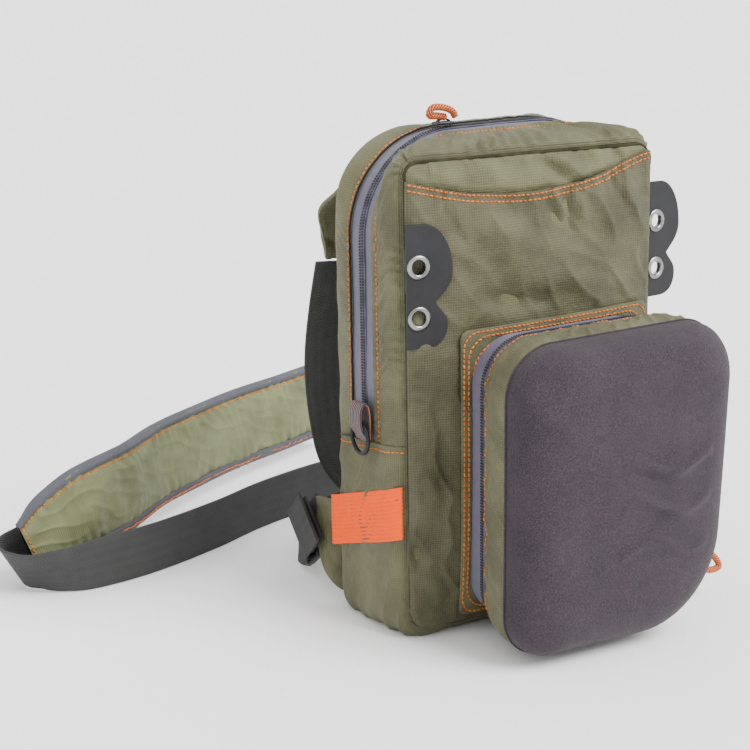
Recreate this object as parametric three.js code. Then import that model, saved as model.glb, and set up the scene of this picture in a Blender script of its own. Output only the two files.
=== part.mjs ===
// Fishing tackle sling bag standing on its base, its shoulder strap and pad laid in a loop behind it.
// Millimetres, +Z up, front towards -Y, origin on the floor under the centre of the main body.
import * as THREE from "three";

// Overall sizes of the main body
const BAG_WIDTH = 152;
const BAG_DEPTH = 68;
const SEAM_TOP = 249; // height of the front panel's top seam
const SEAM_BASE = 6.5; // height of the front panel's bottom seam
const TOP_RISE = 12; // how far the roof rises above the front seam
const SIDE_SWELL = 4; // how far the stuffed sides bulge
const TOP_RADIUS = 52; // corners of the roof along the main zip
const ROOF_TILT = 2; // how much higher the roof stands at its right corner than at its middle
const BASE_RADIUS = 14;
const PANEL_CROWN = 6; // how far the front panel bulges
const BACK_CROWN = 2;
const ZIP_END = 102; // height where the main zip stops on each side

// Cloth and fits
const CLOTH = 1.2;
const PADDED_CLOTH = 2.4;
const TAPE = 1;
const TAPE_SINK = 0.4; // tape surface below the cloth beside it
const COIL_WIDTH = 6;
const COIL_HEIGHT = 1.3;
const GAP = 0.3;
const LAYER_EASE = 0.2; // extra room where two bulging layers lie on each other

// Front pocket
const POCKET_WIDTH = 130;
const POCKET_HEIGHT = 157;
const POCKET_CENTRE_X = 11.5;
const POCKET_BASE = 5;
const POCKET_PROUD = 56; // panel plane to shell seam
const SHELL_CROWN = 25;
const SHELL_WALL = 2.2;
const POCKET_SPLIT = POCKET_BASE + POCKET_HEIGHT * 0.36; // above the large corner at the foot
const POCKET_TAPER = 7; // how far the right side comes in at the foot
const POCKET_SPREAD = 1; // how far it leans out at the top
const POCKET_SKEW = 3.5; // how much higher the top edge ends on the right
const FLANGE_WIDTH = 119;
const FLANGE_HEIGHT = 152;
const FLANGE_BORDER = 8;
const FLANGE_CENTRE_X = 10.5;
const FLANGE_BASE = 11;

// Hardware
const EYELET_OUTER = 12.4;
const EYELET_HOLE = 7;
const EYELET_FLANGE = 0.6;
const EYELET_SPACING = 25.6;
const EYELET_DROP = 2.8; // eyelets sit below the middle of the tab
const EYELET_INSET = 6.6; // root edge to eyelet centre
const TAB_HEIGHT = 62;
const TAB_REACH = 25;
const TAB_THICKNESS = 1.4;
const TAB_LIFT = 0.4; // room behind the left eyelets
const RING_OUTER = 19;
const RING_WIRE = 2.2;
const CORD = 3.6;
const ELASTIC_WIDTH = 28;
const ELASTIC_LEVEL = 70; // middle of the loop at the front seam
const ELASTIC_FALL = 22; // how far it slants down to the back

// Shoulder strap
const WEBBING_WIDTH = 30;
const WEBBING = 1.6;
const PAD_WIDTH = 58;
const PAD_THICKNESS = 9;
const BINDING = 1;

// Body cross sections from the front seam to the back seam.
// depth: share of BAG_DEPTH, swell: of SIDE_SWELL, rise: of TOP_RISE, drop: of SEAM_BASE,
// topRadius: of TOP_RADIUS, baseRadius: of BASE_RADIUS
const BODY_SECTIONS = [
  { depth: 0.0, swell: 0.0, rise: 0.0, drop: 0.0, topRadius: 0.146, baseRadius: 0.85 },
  { depth: 0.09, swell: 0.5, rise: 0.38, drop: 0.85, topRadius: 0.25, baseRadius: 0.95 },
  { depth: 0.19, swell: 0.85, rise: 0.66, drop: 1.0, topRadius: 0.45, baseRadius: 1.0 },
  { depth: 0.3, swell: 1.0, rise: 0.82, drop: 1.0, topRadius: 0.8, baseRadius: 1.0 },
  { depth: 0.36, swell: 1.0, rise: 0.88, drop: 1.0, topRadius: 0.94, baseRadius: 1.0 },
  { depth: 0.525, swell: 1.0, rise: 1.0, drop: 1.0, topRadius: 1.04, baseRadius: 0.9 },
  { depth: 0.69, swell: 1.0, rise: 1.0, drop: 1.0, topRadius: 1.02, baseRadius: 0.8 },
  { depth: 0.9, swell: 0.95, rise: 0.95, drop: 1.0, topRadius: 0.8, baseRadius: 0.65 },
  { depth: 1.0, swell: 0.0, rise: 0.3, drop: 0.5, topRadius: 0.75, baseRadius: 0.55 },
];
const ZIP_FRONT = 0.36;
const ZIP_BACK = 0.69;
const ZIP_MIDDLE = 0.525;

// Mouth of the slip pocket. side: share of half the width, level: share of the seam height
const MOUTH = [
  { side: -1, level: 0.958 },
  { side: -0.83, level: 0.945 },
  { side: -0.5, level: 0.925 },
  { side: -0.1, level: 0.917 },
  { side: 0.25, level: 0.926 },
  { side: 0.55, level: 0.943 },
  { side: 0.8, level: 0.968 },
  { side: 1, level: 0.985 },
];

// Pocket wall from the flange outwards.
// proud: share of POCKET_PROUD, tuck: of POCKET_TUCK at the foot, inset: of WALL_INSET,
// corner: of POCKET_CORNER
const POCKET_TUCK = 2.5;
const WALL_INSET = 11;
const POCKET_CORNER = 26;
const TAPE_SECTIONS = [
  { proud: 0, tuck: 0, inset: 0.92, corner: 0.95 },
  { proud: 0.3, tuck: 0.2, inset: 0.85, corner: 0.95 },
  { proud: 0.5, tuck: 0.45, inset: 0.7, corner: 0.95 },
];
const BORDER_SECTIONS = [
  { proud: 0.515, tuck: 0.5, inset: 0.62, corner: 0.95 },
  { proud: 0.75, tuck: 0.75, inset: 0.18, corner: 1.0 },
  { proud: 0.995, tuck: 1, inset: 0.0, corner: 1.0 },
];
// Moulded shell from its seam to the crown. rise: share of SHELL_CROWN, inset: share of half the width
const SHELL_SECTIONS = [
  { rise: 0.0, inset: 0.0 },
  { rise: 0.24, inset: 0.003 },
  { rise: 0.48, inset: 0.03 },
  { rise: 0.68, inset: 0.085 },
  { rise: 0.83, inset: 0.17 },
  { rise: 0.92, inset: 0.3 },
  { rise: 1.0, inset: 0.75 },
  { rise: 1.0, inset: 1.0 },
];
const SHELL_CORNERS = { topLeft: 1.0, topRight: 0.95, baseRight: 1.85, baseLeft: 0.85 };

const COLOURS = {
  olive: 0x6f6f47,
  lining: 0x77774f,
  lilac: 0x77758c,
  coil: 0x25252c,
  shell: 0x564d60,
  orange: 0xf2661b,
  webbing: 0x45484c,
  binding: 0x565c66,
  black: 0x1d1e20,
  nickel: 0xc9c9c4,
};

const bag = new THREE.Group();
bag.name = "tackle_sling_bag";

const mix = (a, b, t) => a + (b - a) * t;
const vec = (x, y, z) => new THREE.Vector3(x, y, z);
const span = (n) => Array.from({ length: n + 1 }, (_, i) => i / n);

// Value of a column at a place along a table, straight between rows.
function lookUp(table, key, column, place) {
  const last = table.length - 1;
  if (place <= table[0][key]) return table[0][column];
  for (let i = 1; i <= last; i++) {
    const a = table[i - 1];
    const b = table[i];
    if (place <= b[key]) return mix(a[column], b[column], (place - a[key]) / (b[key] - a[key]));
  }
  return table[last][column];
}

// Adds one named piece, its faces turned outwards.
function addPiece(name, triangles, colour, roughness = 0.85, metalness = 0) {
  let volume = 0;
  for (const [a, b, c] of triangles) volume += a.dot(b.clone().cross(c));
  const positions = [];
  for (const [a, b, c] of triangles) {
    for (const p of volume < 0 ? [a, c, b] : [a, b, c]) positions.push(p.x, p.y, p.z);
  }
  const geometry = new THREE.BufferGeometry();
  geometry.setAttribute("position", new THREE.Float32BufferAttribute(positions, 3));
  geometry.computeVertexNormals();
  const material = new THREE.MeshStandardMaterial({ color: colour, roughness, metalness });
  const mesh = new THREE.Mesh(geometry, material);
  mesh.name = name;
  bag.add(mesh);
}

// Two triangles of a quad, without the ones that have collapsed to a line.
function pushQuad(triangles, a, b, c, d) {
  const same = (p, q) => p.distanceToSquared(q) < 1e-8;
  if (!same(a, b) && !same(b, c) && !same(a, c)) triangles.push([a, b, c]);
  if (!same(a, c) && !same(c, d) && !same(a, d)) triangles.push([a, c, d]);
}

const keyOf = (p) => `${p.x.toFixed(3)},${p.y.toFixed(3)},${p.z.toFixed(3)}`;

// Averaged normals of a grid of points, shared where points coincide.
function gridNormals(grid, closed) {
  const sums = new Map();
  const rows = grid.length;
  for (let i = 0; i < (closed ? rows : rows - 1); i++) {
    const next = grid[(i + 1) % rows];
    for (let j = 0; j < grid[i].length - 1; j++) {
      const faces = [];
      pushQuad(faces, grid[i][j], next[j], next[j + 1], grid[i][j + 1]);
      for (const [a, b, c] of faces) {
        const n = b.clone().sub(a).cross(c.clone().sub(a));
        for (const p of [a, b, c]) {
          const key = keyOf(p);
          if (!sums.has(key)) sums.set(key, vec(0, 0, 0));
          sums.get(key).add(n);
        }
      }
    }
  }
  return grid.map((row) => row.map((p) => sums.get(keyOf(p)).clone().normalize()));
}

// A sheet of even thickness: the grid is its outer face, the inner face lies behind it.
function sheet(grid, thickness, closed = false) {
  const normals = gridNormals(grid, closed);
  const inner = grid.map((row, i) =>
    row.map((p, j) => p.clone().addScaledVector(normals[i][j], -thickness)),
  );
  return between(grid, inner, closed);
}

// The solid between two grids of the same size.
function between(outer, inner, closed = false) {
  const triangles = [];
  const rows = outer.length;
  const last = outer[0].length - 1;
  for (let i = 0; i < (closed ? rows : rows - 1); i++) {
    const k = (i + 1) % rows;
    for (let j = 0; j < last; j++) {
      pushQuad(triangles, outer[i][j], outer[k][j], outer[k][j + 1], outer[i][j + 1]);
      pushQuad(triangles, inner[i][j], inner[i][j + 1], inner[k][j + 1], inner[k][j]);
    }
    pushQuad(triangles, inner[i][0], inner[k][0], outer[k][0], outer[i][0]);
    if (outer[i][last].distanceTo(outer[k][last]) > 1e-3)
      pushQuad(triangles, outer[i][last], outer[k][last], inner[k][last], inner[i][last]);
  }
  if (closed) return triangles;
  for (let j = 0; j < last; j++) {
    pushQuad(triangles, outer[0][j], outer[0][j + 1], inner[0][j + 1], inner[0][j]);
    const r = rows - 1;
    pushQuad(triangles, inner[r][j], inner[r][j + 1], outer[r][j + 1], outer[r][j]);
  }
  return triangles;
}

// Sweeps a closed section, points [across, through], along frames { at, across, through }.
function sweep(frames, section, closed = false) {
  const loops = frames.map((f) =>
    section.map(([a, b]) => f.at.clone().addScaledVector(f.across, a).addScaledVector(f.through, b)),
  );
  const triangles = [];
  const count = section.length;
  const rows = loops.length;
  for (let i = 0; i < (closed ? rows : rows - 1); i++) {
    const next = loops[(i + 1) % rows];
    for (let j = 0; j < count; j++) {
      const k = (j + 1) % count;
      pushQuad(triangles, loops[i][j], next[j], next[k], loops[i][k]);
    }
  }
  if (closed) return triangles;
  const flat = section.map(([a, b]) => new THREE.Vector2(a, b));
  const anticlockwise = !THREE.ShapeUtils.isClockWise(flat);
  const first = loops[0];
  const end = loops[rows - 1];
  for (const [a, b, c] of THREE.ShapeUtils.triangulateShape(flat, [])) {
    const area = flat[b].clone().sub(flat[a]).cross(flat[c].clone().sub(flat[a]));
    const [p, q] = area > 0 === anticlockwise ? [b, c] : [c, b];
    triangles.push([first[a], first[p], first[q]], [end[a], end[q], end[p]]);
  }
  return triangles;
}

// Frames along a path, the across direction carried from point to point.
function framesAlong(points, across) {
  return points.map((at, i) => {
    const a = points[Math.max(i - 1, 0)];
    const b = points[Math.min(i + 1, points.length - 1)];
    const along = b.clone().sub(a).normalize();
    const wanted = Array.isArray(across) ? across[i] : across;
    const through = along.clone().cross(wanted).normalize();
    return { at, along, through, across: through.clone().cross(along).normalize() };
  });
}

const circle = (radius, sides) =>
  span(sides)
    .slice(0, sides)
    .map((s) => [radius * Math.cos(2 * Math.PI * s), radius * Math.sin(2 * Math.PI * s)]);

const rectangle = (a, b) => [
  [-a / 2, -b / 2],
  [a / 2, -b / 2],
  [a / 2, b / 2],
  [-a / 2, b / 2],
];

// Evenly spaced points on a smooth curve through the given ones.
const smooth = (points, count) => new THREE.CatmullRomCurve3(points, false, "centripetal").getPoints(count);

// Outline of a rounded rectangle in the x-z plane, seen from the front, from the middle of
// the base leftwards. Each stretch has its own number of steps, so sections match up.
const STRETCHES = { base: 2, corner: 4, lowSide: 2, highSide: 5, top: 7 };
function outline({ left, right, base, top, split, corners }) {
  const points = [];
  const arc = (cx, cz, radius, from) => {
    for (const s of span(STRETCHES.corner)) {
      const angle = ((from - 90 * s) * Math.PI) / 180;
      points.push([cx + radius * Math.cos(angle), cz + radius * Math.sin(angle)]);
    }
  };
  const line = (a, b, steps) => {
    for (let i = 1; i < steps; i++) points.push([mix(a[0], b[0], i / steps), mix(a[1], b[1], i / steps)]);
  };
  const { baseLeft: bl, topLeft: tl, topRight: tr, baseRight: br } = corners;
  const middle = (left + right) / 2;
  points.push([middle, base]);
  line([middle, base], [left + bl, base], STRETCHES.base);
  arc(left + bl, base + bl, bl, 270);
  line([left, base + bl], [left, split], STRETCHES.lowSide);
  points.push([left, split]);
  line([left, split], [left, top - tl], STRETCHES.highSide);
  arc(left + tl, top - tl, tl, 180);
  line([left + tl, top], [right - tr, top], STRETCHES.top);
  arc(right - tr, top - tr, tr, 90);
  line([right, top - tr], [right, split], STRETCHES.highSide);
  points.push([right, split]);
  line([right, split], [right, base + br], STRETCHES.lowSide);
  arc(right - br, base + br, br, 0);
  line([right - br, base], [middle, base], STRETCHES.base);
  return points;
}
const SPLIT_LEFT = STRETCHES.base + STRETCHES.corner + STRETCHES.lowSide;
const SPLIT_RIGHT = SPLIT_LEFT + 2 * STRETCHES.highSide + 2 * STRETCHES.corner + STRETCHES.top;

// Main body outline at a depth share, pulled in by an inset.
function bodyOutline(depth, inset = 0) {
  const row = (column) => lookUp(BODY_SECTIONS, "depth", column, depth);
  const half = BAG_WIDTH / 2 + SIDE_SWELL * row("swell") - inset;
  const topRadius = TOP_RADIUS * row("topRadius") - inset;
  const baseRadius = BASE_RADIUS * row("baseRadius") - inset;
  const top = SEAM_TOP + TOP_RISE * row("rise") - inset;
  const split = ZIP_END + 3 - 6 * depth;
  const corners = { topLeft: topRadius, topRight: topRadius, baseLeft: baseRadius, baseRight: baseRadius };
  const base = SEAM_BASE * (1 - row("drop")) + inset;
  const tilt = ROOF_TILT * row("rise");
  return outline({ left: -half, right: half, base, top, split, corners }).map(([x, z]) => {
    const up = Math.max(0, (z - split) / (top - split));
    return [x, z + ((tilt * x) / half) * up ** 2];
  });
}
const depthAt = (depth) => BAG_DEPTH * (depth - 0.5);
const sideX = (depth) => BAG_WIDTH / 2 + SIDE_SWELL * lookUp(BODY_SECTIONS, "depth", "swell", depth);

// Depth shares of a strip between two limits, trimmed by a distance in mm at each end.
function stations(from, to, trimFrom, trimTo) {
  const a = from + trimFrom / BAG_DEPTH;
  const b = to - trimTo / BAG_DEPTH;
  const inside = BODY_SECTIONS.map((r) => r.depth).filter((d) => d > a + 0.02 && d < b - 0.02);
  return [a, ...inside, b];
}

// Rows of the gusset: one row per outline point, one column per depth station.
function gussetGrid(depths, indices, inset = 0) {
  const sections = depths.map((d) => bodyOutline(d, inset));
  return indices.map((i) =>
    depths.map((d, k) => {
      const [x, z] = sections[k][i % sections[k].length];
      return vec(x, depthAt(d), z);
    }),
  );
}
const range = (from, to) => Array.from({ length: to - from + 1 }, (_, i) => from + i);

// Shifts the first and last rows of an upper strip up the sides, clear of the lower gusset.
function liftEnds(grid, distance) {
  for (const row of [grid[0], grid[grid.length - 1]]) for (const p of row) p.z += distance;
  return grid;
}

// Bulge of the front panel at a place, nothing at its seam.
function crownAt(x, z, crown = PANEL_CROWN) {
  const a = Math.min(1, Math.abs(x) / (BAG_WIDTH / 2));
  const middle = (SEAM_TOP + SEAM_BASE) / 2;
  const b = Math.min(1, Math.abs(z - middle) / ((SEAM_TOP - SEAM_BASE) / 2));
  return crown * (1 - a ** 3) * (1 - b ** 4);
}
const panelY = (x, z) => -BAG_DEPTH / 2 - crownAt(x, z);

// Columns of a front layer from the foot upwards, each as the heights of foot, mouth and head.
const COLUMN_SIDES = [-1, -0.97, -0.9, -0.8, -0.6, -0.32, 0, 0.32, 0.6, 0.8, 0.9, 0.97, 1];
function columnHeights(side) {
  const half = BAG_WIDTH / 2;
  const rounding = (radius) => {
    const past = Math.max(0, Math.abs(side) * half - (half - radius));
    return radius - Math.sqrt(Math.max(0, radius ** 2 - past ** 2));
  };
  return {
    foot: SEAM_BASE + rounding(BASE_RADIUS * BODY_SECTIONS[0].baseRadius),
    mouth: SEAM_BASE + (SEAM_TOP - SEAM_BASE) * lookUp(MOUTH, "side", "level", side),
    head: SEAM_TOP - rounding(TOP_RADIUS * BODY_SECTIONS[0].topRadius),
  };
}
function frontLayer(offset, above) {
  return COLUMN_SIDES.map((side) => {
    const x = (side * BAG_WIDTH) / 2;
    const { foot, mouth, head } = columnHeights(side);
    const low = Math.min(mouth, head - 1);
    const heights = [0, 0.08, 0.2, 0.4, 0.6, 0.8, 1].map((s) => mix(foot, low, s));
    for (const s of above) heights.push(mix(low, head, s));
    return heights.reverse().map((z) => vec(x, panelY(x, z) - offset, z));
  });
}

// Rings of points from a panel's rim to its middle.
function panelRings(rim, shares, yAt, centre) {
  return rim.map(([x, z]) =>
    shares.map((s) => {
      const px = mix(centre[0], x, s);
      const pz = mix(centre[1], z, s);
      return vec(px, yAt(px, pz), pz);
    }),
  );
}

function mainBody() {
  const centre = [0, (SEAM_TOP + SEAM_BASE) / 2];
  const above = [0.5, 1];
  addPiece("front_panel", between(frontLayer(0, above), frontLayer(-CLOTH, above)), COLOURS.olive);
  const flatBack = (x, z) => {
    const bulge = crownAt(x, z, 4 * BACK_CROWN);
    return BAG_DEPTH / 2 + Math.min(BACK_CROWN, bulge);
  };
  const back = panelRings(bodyOutline(1), [1, 0.93, 0.8, 0.5, 0], flatBack, centre);
  addPiece("back_panel", sheet(back, PADDED_CLOTH, true), COLOURS.olive);

  const count = bodyOutline(0).length;
  const upper = range(SPLIT_LEFT, SPLIT_RIGHT);
  const lower = range(SPLIT_RIGHT, count + SPLIT_LEFT);
  const seams = { front: CLOTH + GAP, back: PADDED_CLOTH + GAP };
  const strip = (depths, indices, inset, thickness, lift) =>
    between(
      liftEnds(gussetGrid(depths, indices, inset), lift),
      liftEnds(gussetGrid(depths, indices, inset + thickness), lift),
    );
  addPiece("lower_gusset", strip(stations(0, 1, seams.front, seams.back), lower, 0, CLOTH, 0), COLOURS.olive);
  const frontDepths = stations(0, ZIP_FRONT, seams.front, GAP / 2);
  addPiece("front_gusset_strip", strip(frontDepths, upper, 0, CLOTH, GAP), COLOURS.olive);
  const rearDepths = stations(ZIP_BACK, 1, GAP / 2, seams.back);
  addPiece("rear_gusset_strip", strip(rearDepths, upper, 0, CLOTH, GAP), COLOURS.olive);
  const tapeDepths = stations(ZIP_FRONT, ZIP_BACK, GAP / 2, GAP / 2);
  addPiece("main_zip_tape", strip(tapeDepths, upper, TAPE_SINK, TAPE, GAP), COLOURS.lilac);
  const half = COIL_WIDTH / 2 / BAG_DEPTH;
  const coilDepths = [ZIP_MIDDLE - half, ZIP_MIDDLE, ZIP_MIDDLE + half];
  const coilInset = TAPE_SINK - GAP - COIL_HEIGHT;
  addPiece("main_zip_coil", strip(coilDepths, upper, coilInset, COIL_HEIGHT, 3 * GAP), COLOURS.coil, 0.6);
}

// Slip pocket layer over the front panel, open along its mouth.
function slipPocket() {
  addPiece("slip_pocket_panel", between(frontLayer(CLOTH + GAP, []), frontLayer(GAP, [])), COLOURS.lining);
}

// Outline of a double-lobed tab in its own plane, root edge on the left at x = 0.
function tabShape() {
  const lobe = TAB_HEIGHT / 2;
  const shape = new THREE.Shape();
  shape.moveTo(0, -lobe);
  const curve = (a, b, c, d, e, f) =>
    shape.bezierCurveTo(a * TAB_REACH, b * lobe, c * TAB_REACH, d * lobe, e * TAB_REACH, f * lobe);
  shape.lineTo(TAB_REACH * 0.4, -lobe);
  curve(0.75, -1, 0.88, -0.82, 0.88, -0.62);
  curve(0.88, -0.46, 0.72, -0.4, 0.62, -0.26);
  curve(0.78, -0.12, 1, 0, 1, 0.24);
  curve(1, 0.7, 0.7, 1, 0.4, 1);
  shape.lineTo(0, lobe);
  shape.closePath();
  for (const z of [-0.5, 0.5]) {
    const hole = new THREE.Path();
    hole.absarc(EYELET_INSET, z * EYELET_SPACING - EYELET_DROP, EYELET_OUTER / 2 - 1.6, 0, 2 * Math.PI, true);
    shape.holes.push(hole);
  }
  return shape;
}

// Triangles of a three.js geometry after a placement.
function trianglesOf(geometry, placement) {
  const flat = geometry.index ? geometry.toNonIndexed() : geometry;
  const p = flat.getAttribute("position");
  const at = (i) => vec(p.getX(i), p.getY(i), p.getZ(i)).applyMatrix4(placement);
  return range(0, p.count / 3 - 1).map((t) => [at(3 * t), at(3 * t + 1), at(3 * t + 2)]);
}

// A rolled metal eyelet clamped through a tab, its axis along local z.
function eyelet(name, placement) {
  const barrel = EYELET_OUTER / 2 - 1.6 - GAP;
  const grip = TAB_THICKNESS / 2 + GAP;
  const face = grip + EYELET_FLANGE;
  const profile = [
    [EYELET_HOLE / 2, -face],
    [EYELET_OUTER / 2, -face],
    [EYELET_OUTER / 2, -grip],
    [barrel, -grip],
    [barrel, grip],
    [EYELET_OUTER / 2, grip],
    [EYELET_OUTER / 2, face],
    [EYELET_HOLE / 2, face],
  ];
  const turn = 12;
  const frames = range(0, turn - 1).map((i) => {
    const angle = (2 * Math.PI * i) / turn;
    return {
      at: vec(0, 0, 0),
      across: vec(Math.cos(angle), Math.sin(angle), 0),
      through: vec(0, 0, 1),
    };
  });
  const placed = sweep(frames, profile, true).map((t) => t.map((p) => p.clone().applyMatrix4(placement)));
  addPiece(name, placed, COLOURS.nickel, 0.3, 0.9);
}

function eyeletTabs() {
  const half = BAG_WIDTH / 2;
  const level = SEAM_BASE + (SEAM_TOP - SEAM_BASE) * 0.745;
  const stack = CLOTH + 3 * GAP + EYELET_FLANGE + TAB_THICKNESS / 2;
  const sides = [
    { side: "left", turn: -0.15, x: -half - 1.5, y: -BAG_DEPTH / 2 - stack - TAB_LIFT, z: level },
    { side: "right", turn: 0.15, x: half + 1.2, y: -BAG_DEPTH / 2 + 1.2, z: level + 9.5 },
  ];
  for (const { side, turn, x, y, z } of sides) {
    // Local x runs along the reach, local y up, local z out of the tab.
    const upright = new THREE.Matrix4().makeRotationX(Math.PI / 2);
    const swing = new THREE.Matrix4().makeRotationZ(turn);
    const place = new THREE.Matrix4().makeTranslation(x, y, z).multiply(swing).multiply(upright);
    const plate = new THREE.ExtrudeGeometry(tabShape(), {
      depth: TAB_THICKNESS,
      bevelEnabled: false,
      curveSegments: 5,
    });
    plate.translate(0, 0, -TAB_THICKNESS / 2);
    addPiece(`${side}_eyelet_tab`, trianglesOf(plate, place), COLOURS.black, 0.55);
    for (const [word, share] of [["upper", 0.5], ["lower", -0.5]]) {
      const shift = new THREE.Matrix4().makeTranslation(EYELET_INSET, share * EYELET_SPACING - EYELET_DROP, 0);
      eyelet(`${side}_${word}_eyelet`, place.clone().multiply(shift));
    }
  }
}

// Leans a pocket outline: its right side comes in at the foot, its top edge rises to the right.
function lean([x, z]) {
  const across = (x - POCKET_CENTRE_X) / POCKET_WIDTH + 0.5;
  const up = (z - POCKET_BASE) / POCKET_HEIGHT;
  return [x + across * mix(-POCKET_TAPER, POCKET_SPREAD, up), z + across * POCKET_SKEW * up ** 2];
}

// Outline of the pocket wall and shell: inset narrows it towards the flange, skin is even all round.
function pocketOutline(inset, corner, skin = 0) {
  const c = (share) => POCKET_CORNER * corner * share - skin;
  return outline({
    left: POCKET_CENTRE_X - POCKET_WIDTH / 2 + inset + skin,
    right: POCKET_CENTRE_X + POCKET_WIDTH / 2 - inset - skin,
    base: POCKET_BASE + inset * 0.6 + skin,
    top: POCKET_BASE + POCKET_HEIGHT - inset * 0.3 - skin,
    split: POCKET_SPLIT,
    corners: {
      topLeft: c(SHELL_CORNERS.topLeft),
      topRight: c(SHELL_CORNERS.topRight),
      baseRight: c(SHELL_CORNERS.baseRight),
      baseLeft: c(SHELL_CORNERS.baseLeft),
    },
  }).map(lean);
}
const FLANGE_OFFSET = 2 * (CLOTH + GAP) + LAYER_EASE;
// The wall starts on the flange, and its seam leans back towards the foot by the tuck.
function pocketY(proud, tuck, x, z) {
  if (proud === 0) return panelY(x, z) - FLANGE_OFFSET - GAP;
  const low = 1 - (z - POCKET_BASE) / POCKET_HEIGHT;
  return -BAG_DEPTH / 2 - POCKET_PROUD * proud + POCKET_TUCK * tuck * low ** 2;
}
function wallGrid(rows, skin) {
  const rings = rows.map((r) =>
    pocketOutline(WALL_INSET * r.inset, r.corner, skin).map(([x, z]) => vec(x, pocketY(r.proud, r.tuck, x, z), z)),
  );
  return rings[0].map((_, i) => rings.map((ring) => ring[i]));
}

function frontPocket() {
  // The flange is a flat frame on the slip pocket layer, its window following the zip tape.
  const left = FLANGE_CENTRE_X - FLANGE_WIDTH / 2;
  const radius = 5;
  const rim = outline({
    left,
    right: left + FLANGE_WIDTH,
    base: FLANGE_BASE,
    top: FLANGE_BASE + FLANGE_HEIGHT,
    split: POCKET_SPLIT,
    corners: { topLeft: radius, topRight: radius, baseRight: radius, baseLeft: radius },
  }).map(lean);
  const corner = POCKET_CORNER * 0.75;
  const window = outline({
    left: left + FLANGE_BORDER,
    right: left + FLANGE_WIDTH - FLANGE_BORDER,
    base: FLANGE_BASE + FLANGE_BORDER,
    top: FLANGE_BASE + FLANGE_HEIGHT - FLANGE_BORDER,
    split: POCKET_SPLIT,
    corners: { topLeft: corner, topRight: corner, baseRight: corner, baseLeft: corner },
  }).map(lean);
  const flange = rim.map((p, i) =>
    [0, 0.5, 1].map((s) => {
      const x = mix(p[0], window[i][0], s);
      const z = mix(p[1], window[i][1], s);
      return vec(x, panelY(x, z) - FLANGE_OFFSET, z);
    }),
  );
  addPiece("pocket_flange", sheet(flange, -CLOTH, true), COLOURS.lining);

  const wall = (rows, skin, thickness) => between(wallGrid(rows, skin), wallGrid(rows, skin + thickness), true);
  addPiece("pocket_zip_tape", wall(TAPE_SECTIONS, TAPE_SINK, TAPE), COLOURS.lilac);
  addPiece("pocket_border", wall(BORDER_SECTIONS, 0, CLOTH), COLOURS.lining);
  const coilRows = [0.36, 0.41, 0.46].map((proud) => ({
    proud,
    tuck: lookUp(TAPE_SECTIONS, "proud", "tuck", proud),
    inset: lookUp(TAPE_SECTIONS, "proud", "inset", proud),
    corner: 0.95,
  }));
  const coilSkin = TAPE_SINK - GAP - COIL_HEIGHT;
  addPiece("pocket_zip_coil", wall(coilRows, coilSkin, COIL_HEIGHT), COLOURS.coil, 0.6);
}

// Moulded shell over the pocket, open towards the bag.
function pocketShell() {
  const centre = [POCKET_CENTRE_X, POCKET_BASE + POCKET_HEIGHT / 2];
  const rim = pocketOutline(0, 1);
  const rings = rim.map(([x, z]) =>
    SHELL_SECTIONS.map(({ rise, inset }) => {
      const px = mix(x, centre[0], inset);
      const pz = mix(z, centre[1], inset);
      return vec(px, pocketY(1, 1, px, pz) - SHELL_CROWN * rise, pz);
    }),
  );
  addPiece("pocket_shell", sheet(rings, -SHELL_WALL, true), COLOURS.shell, 0.9);
}

// Elastic loop over the left gusset, its back end folded in behind the edge of the bag.
function elasticLoop() {
  const off = GAP + WEBBING;
  const plan = [0.035, 0.1, 0.19, 0.3, 0.5, 0.77].map((d) => [-sideX(d) - off, depthAt(d)]);
  const edge = -BAG_WIDTH / 2;
  const back = BAG_DEPTH / 2;
  plan.push(
    [edge - 6.2, back - 9],
    [edge - 6.6, back - 3],
    [edge - 6.2, back + 1.4],
    [edge - 4, back + 2.6],
    [edge - 1.2, back + 1.8],
  );
  const last = plan.length - 1;
  const rows = plan.map(([x, y], i) => {
    const middle = mix(ELASTIC_LEVEL, ELASTIC_LEVEL - ELASTIC_FALL, i / last);
    return [0.5, 0, -0.5].map((s) => vec(x, y, middle + s * ELASTIC_WIDTH));
  });
  addPiece("elastic_loop", sheet(rows, WEBBING), COLOURS.orange, 0.8);
}

// Folded tab at the left end of the main zip, with a ring hanging in it.
function ringTab() {
  const x = -sideX(ZIP_MIDDLE) - COIL_HEIGHT - GAP;
  const y = depthAt(ZIP_MIDDLE) - 5;
  const fold = [
    [1.0, 2],
    [0.9, 10],
    [1.2, 17],
    [2.4, 20.8],
    [4.4, 21.4],
    [6.3, 18.8],
    [6.9, 14],
    [6.2, 8.5],
    [3.6, 4],
    [2.8, 2],
  ];
  const path = fold.map(([out, up]) => vec(x - out, y, ZIP_END + up));
  const band = sweep(framesAlong(path, vec(0, 1, 0)), rectangle(11, 1.2));
  addPiece("ring_tab", band, COLOURS.webbing);
  const radius = (RING_OUTER - RING_WIRE) / 2;
  const centre = vec(x - 4.3, y, ZIP_END + 3);
  const turn = 18;
  const frames = range(0, turn - 1).map((i) => {
    const angle = (2 * Math.PI * i) / turn;
    const out = vec(0.04 * Math.sin(angle) * -1, Math.cos(angle), Math.sin(angle)).normalize();
    return { at: centre.clone().addScaledVector(out, radius), across: out, through: vec(1, 0, 0) };
  });
  addPiece("ring", sweep(frames, circle(RING_WIRE / 2, 7), true), COLOURS.black, 0.4);
}

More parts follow.
